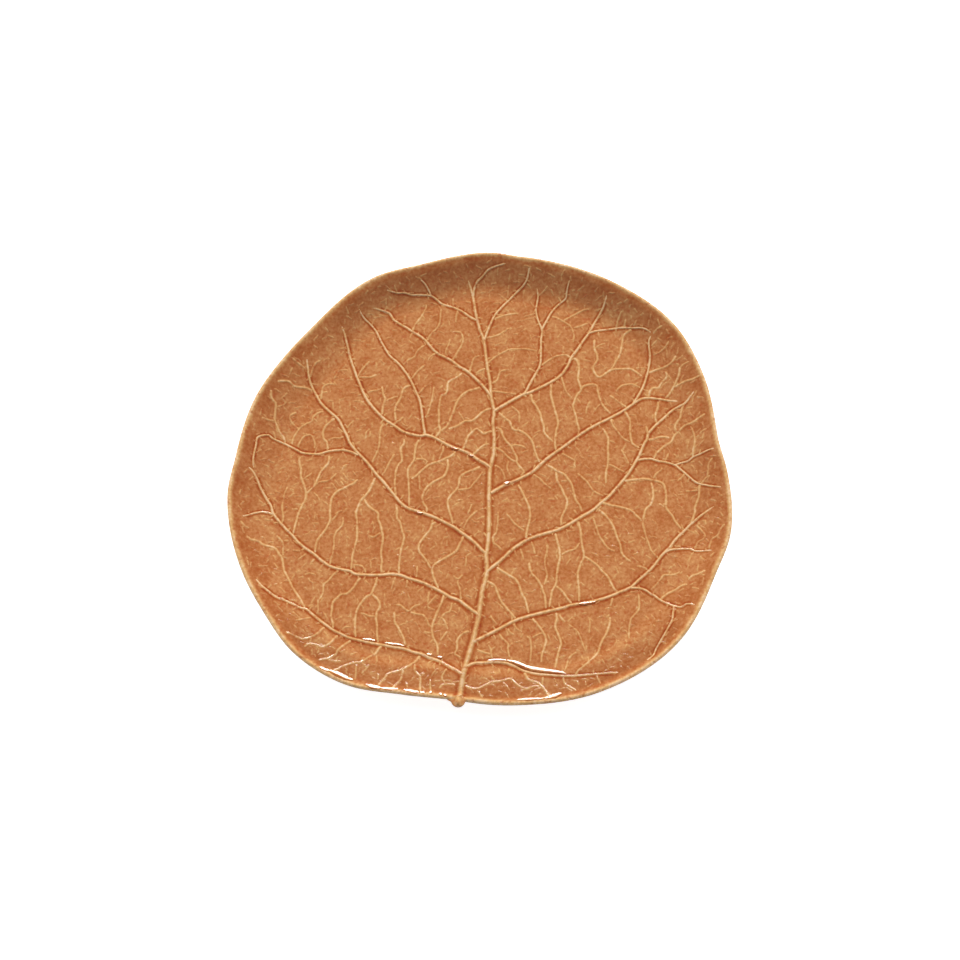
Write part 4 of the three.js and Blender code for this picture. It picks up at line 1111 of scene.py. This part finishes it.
for length, ground in zip(lengths, grounds):
    level = max(level, ground.z if ground else level)
    out = (stem_low.y + STEM_OUT - length) / STEM_OUT
    past, inside = max(0, out), max(0, -out * STEM_OUT / (stem_high.y - stem_low.y - STEM_OUT))
    girth = math.sqrt(max(0, 1 - past ** STEM_BLUNT))
    half = STEM_HALF * girth + STEM_SHOULDER * (1 - past) ** STEM_FILLET
    half += (STEM_RIB_HALF - half) * smooth_step(inside, 0, 1)
    base = min(stem_middle.z, level - STEM_BASE)
    base += (stem_middle.z - base) * min(1, past)
    bench = (level - STEM_SINK - base) * girth
    lift = (stem_high.z - lip_level - STEM_RIB_RISE) * smooth_step(out, *STEM_LIFT)
    crest = (level + STEM_RIB_RISE + lift - base) * girth
    drop = (base - stem_low.z) * girth
    for side in range(stem_sides):
        if side <= STEM_TOP_SIDES:
            across = 1 - 2 * side / STEM_TOP_SIDES
            rib = 0.5 + 0.5 * math.cos(math.pi * min(1, abs(across) * half / STEM_RIB_HALF))
            height = bench * math.sqrt(1 - across ** 4) + (crest - bench) * rib
        else:
            across = 2 * (side - STEM_TOP_SIDES) / STEM_UNDER_SIDES - 1
            rib = 0
            height = -drop * math.sqrt(1 - across ** 2)
        points.append((stem_middle.x + half * across, length, base + height))
        tones.append(STEM_SIDE + (STEM_PALE - STEM_SIDE) * rib * (1 - past / 2))
tip = len(points)
points.append((stem_middle.x, stem_low.y, stem_middle.z))
tones.append(STEM_PALE / 2)
for ring in range(STEM_RINGS):
    for side in range(stem_sides):
        here, after = ring * stem_sides + side, ring * stem_sides + (side + 1) % stem_sides
        if ring + 1 < STEM_RINGS:
            faces.append((here, after, after + stem_sides, here + stem_sides))
        else:
            faces.append((here, after, tip))
faces.append(tuple(range(stem_sides))[::-1])
stem = glazed_mesh("stem_stub_glazed", points, faces, tones)
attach(stem, "root")
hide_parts("stem_stub")

# Foot ring: a coil of stoneware turned onto the underside of the slab and wiped bare, so that the glaze
# doesn't stick to the kiln's shelf. Its standing edge is rounded, and the fire toasts it next to the glaze.
FOOT_WIDTH = 5 * MM
FOOT_EDGE = 1.2 * MM
FOOT_EDGE_STEPS = 6
FOOT_STEPS = 180
CLAY_TONES = [(0.0, "b48a5c"), (0.5, "c8a274"), (1.0, "d8ba90")]
TOASTED = "8a5230"
TOAST_BAND = (2.6 * MM, 3.9 * MM)
TOAST_MOST = 0.9
CLAY_GRAIN = 0.9 * MM
CLAY_ROUGHNESS, CLAY_IOR = 0.75, 1.5
foot_low, foot_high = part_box("foot_ring")
clay, body = new_material("bare_buff_stoneware")
place = add_node(body, "ShaderNodeTexCoord").outputs["Object"]
grain = add_node(body, "ShaderNodeTexNoise", {"Vector": place, "Scale": 1 / CLAY_GRAIN, "Detail": 3.0})
tone = ramp(body, grain, CLAY_TONES)
level = add_node(body, "ShaderNodeSeparateXYZ", {0: place})
toast = add_node(body, "ShaderNodeMapRange", {
    "Value": level.outputs["Z"], 1: TOAST_BAND[0], 2: TOAST_BAND[1], 3: 0.0, 4: TOAST_MOST,
})
tone = add_node(body, "ShaderNodeMix", {
    0: toast, 6: tone, 7: linear(TOASTED),
}, data_type="RGBA").outputs[2]
matt = add_node(body, "ShaderNodeBsdfPrincipled", {
    "Base Color": tone, "Roughness": CLAY_ROUGHNESS, "IOR": CLAY_IOR,
})
add_node(body, "ShaderNodeOutputMaterial", {"Surface": matt})
foot_top = foot_high.z + VEIN_SINK
foot_section = [(0, -foot_top, 0), (FOOT_WIDTH, -foot_top, 0)]
for centre, start in ((FOOT_WIDTH - FOOT_EDGE, 0), (FOOT_EDGE, -math.pi / 2)):
    for step in range(FOOT_EDGE_STEPS + 1):
        turn = start - math.pi / 2 * step / FOOT_EDGE_STEPS
        inset, height = centre + FOOT_EDGE * math.cos(turn), FOOT_EDGE + FOOT_EDGE * math.sin(turn)
        foot_section.append((inset, -height, 0))
foot_tree, ring = new_tree("turned ring", {
    "Radius": "Float", "Steps": "Int", "Middle": "Vector", "Clay": "Material",
})
hoop = add_node(foot_tree, "GeometryNodeCurvePrimitiveCircle", {
    "Resolution": ring["Steps"], "Radius": ring["Radius"],
})
edge_line = add_node(foot_tree, "GeometryNodeMeshToCurve", {0: ring["Geometry"]})
hoop = add_node(foot_tree, "GeometryNodeSetCurveNormal", {0: hoop}, mode="Z_UP")
swept = add_node(foot_tree, "GeometryNodeCurveToMesh", {"Curve": hoop, "Profile Curve": edge_line})
moved = add_node(foot_tree, "GeometryNodeSetPosition", {"Geometry": swept, "Offset": ring["Middle"]})
end_tree(foot_tree, moved, ring["Clay"])
foot_radius = (foot_high.x - foot_low.x) / 2
foot_middle = (foot_low + foot_high) / 2
foot_piece = grown(
    foot_tree, polyline("foot_section", [foot_section], closed=True), "foot_ring_bare",
    radius=foot_radius - FOOT_WIDTH, steps=FOOT_STEPS, middle=(foot_middle.x, foot_middle.y, 0), clay=clay,
)
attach(foot_piece, "root")
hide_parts("foot_ring")

# Floor and light: white paper in a bright room, darker towards the camera. The paper is clear from below,
# for a look at the foot. One low strip of light stands behind the plate, for the glaze to mirror.
FLOOR_SIDE = 12
FLOOR_WHITE, FLOOR_GLOW = 0.85, 0.92
ROOM_FRONT, ROOM_BACK = 0.02, 2.6
ROOM_LOW, ROOM_RISE = 0.15, 0.75
ROOM_TURN = (-0.2, 0.3)
ROOM_GLARE = 0.4
PANE_RADIANCE = 20
PANE_DISTANCE = 3
PANE_TALL = 0.27
PANE_ENDS = (math.radians(69), math.radians(103))
PANE_RISE = SHOULDER_LIGHT
bpy.ops.mesh.primitive_plane_add(size=FLOOR_SIDE)
floor = bpy.context.object
floor.name = "floor"
paper, sheet = new_material("white_paper")
path = add_node(sheet, "ShaderNodeLightPath")
seen = add_node(sheet, "ShaderNodeMath", {
    0: path.outputs["Is Camera Ray"], 1: path.outputs["Is Glossy Ray"],
}, operation="MAXIMUM")
seen = add_node(sheet, "ShaderNodeMath", {
    0: seen, 1: path.outputs["Is Transmission Ray"],
}, operation="MAXIMUM")
glow = add_node(sheet, "ShaderNodeMath", {0: seen, 1: FLOOR_GLOW}, operation="MULTIPLY")
matt = add_node(sheet, "ShaderNodeBsdfDiffuse", {"Color": (FLOOR_WHITE, FLOOR_WHITE, FLOOR_WHITE, 1)})
shine = add_node(sheet, "ShaderNodeEmission", {"Color": (1, 1, 1, 1), "Strength": glow})
both = add_node(sheet, "ShaderNodeAddShader", {0: matt, 1: shine})
behind = add_node(sheet, "ShaderNodeNewGeometry").outputs["Backfacing"]
clear = add_node(sheet, "ShaderNodeBsdfTransparent")
both = add_node(sheet, "ShaderNodeMixShader", {0: behind, 1: both, 2: clear})
add_node(sheet, "ShaderNodeOutputMaterial", {"Surface": both})
floor.data.materials.append(paper)

world = bpy.data.worlds.new("studio")
world.use_nodes = True
scene.world = world
air = world.node_tree
air.nodes.clear()
direction = add_node(air, "ShaderNodeTexCoord").outputs["Generated"]
direction = add_node(air, "ShaderNodeSeparateXYZ", {0: direction})
room = add_node(air, "ShaderNodeMapRange", {
    "Value": direction.outputs["Y"], 1: ROOM_TURN[0], 2: ROOM_TURN[1], 3: ROOM_FRONT, 4: ROOM_BACK,
}, interpolation_type="SMOOTHSTEP")
height = add_node(air, "ShaderNodeMapRange", {
    "Value": direction.outputs["Z"], 1: 0.0, 2: ROOM_RISE, 3: ROOM_LOW, 4: 1.0,
}, interpolation_type="SMOOTHSTEP")
room = add_node(air, "ShaderNodeMath", {0: room, 1: height}, operation="MULTIPLY")
path = add_node(air, "ShaderNodeLightPath")
room = add_node(air, "ShaderNodeMix", {0: path.outputs["Is Glossy Ray"], 2: room, 3: ROOM_GLARE})
room = add_node(air, "ShaderNodeMath", {0: room, 1: path.outputs["Is Camera Ray"]}, operation="MAXIMUM")
sky = add_node(air, "ShaderNodeBackground", {"Color": (1, 1, 1, 1), "Strength": room})
add_node(air, "ShaderNodeOutputWorld", {"Surface": sky})

pane_reach, pane_height = PANE_DISTANCE * math.cos(PANE_RISE), PANE_DISTANCE * math.sin(PANE_RISE)
start, end = [
    Vector((pane_reach * math.cos(azimuth), pane_reach * math.sin(azimuth), pane_height))
    for azimuth in PANE_ENDS
]
middle = (start + end) / 2
across = (end - start).normalized()
away = (middle - across * middle.dot(across)).normalized()
lamp = bpy.data.lights.new("low_pane", "AREA")
lamp.shape = "RECTANGLE"
lamp.size, lamp.size_y = (end - start).length, PANE_TALL
lamp.energy = PANE_RADIANCE * math.pi * lamp.size * lamp.size_y
pane = bpy.data.objects.new("low_pane", lamp)
pane.visible_diffuse = False
pane.matrix_world = (
    Matrix.Translation(middle) @ Matrix((across, away.cross(across), away)).transposed().to_4x4()
)
scene.collection.objects.link(pane)

scene.view_settings.view_transform = "Standard"
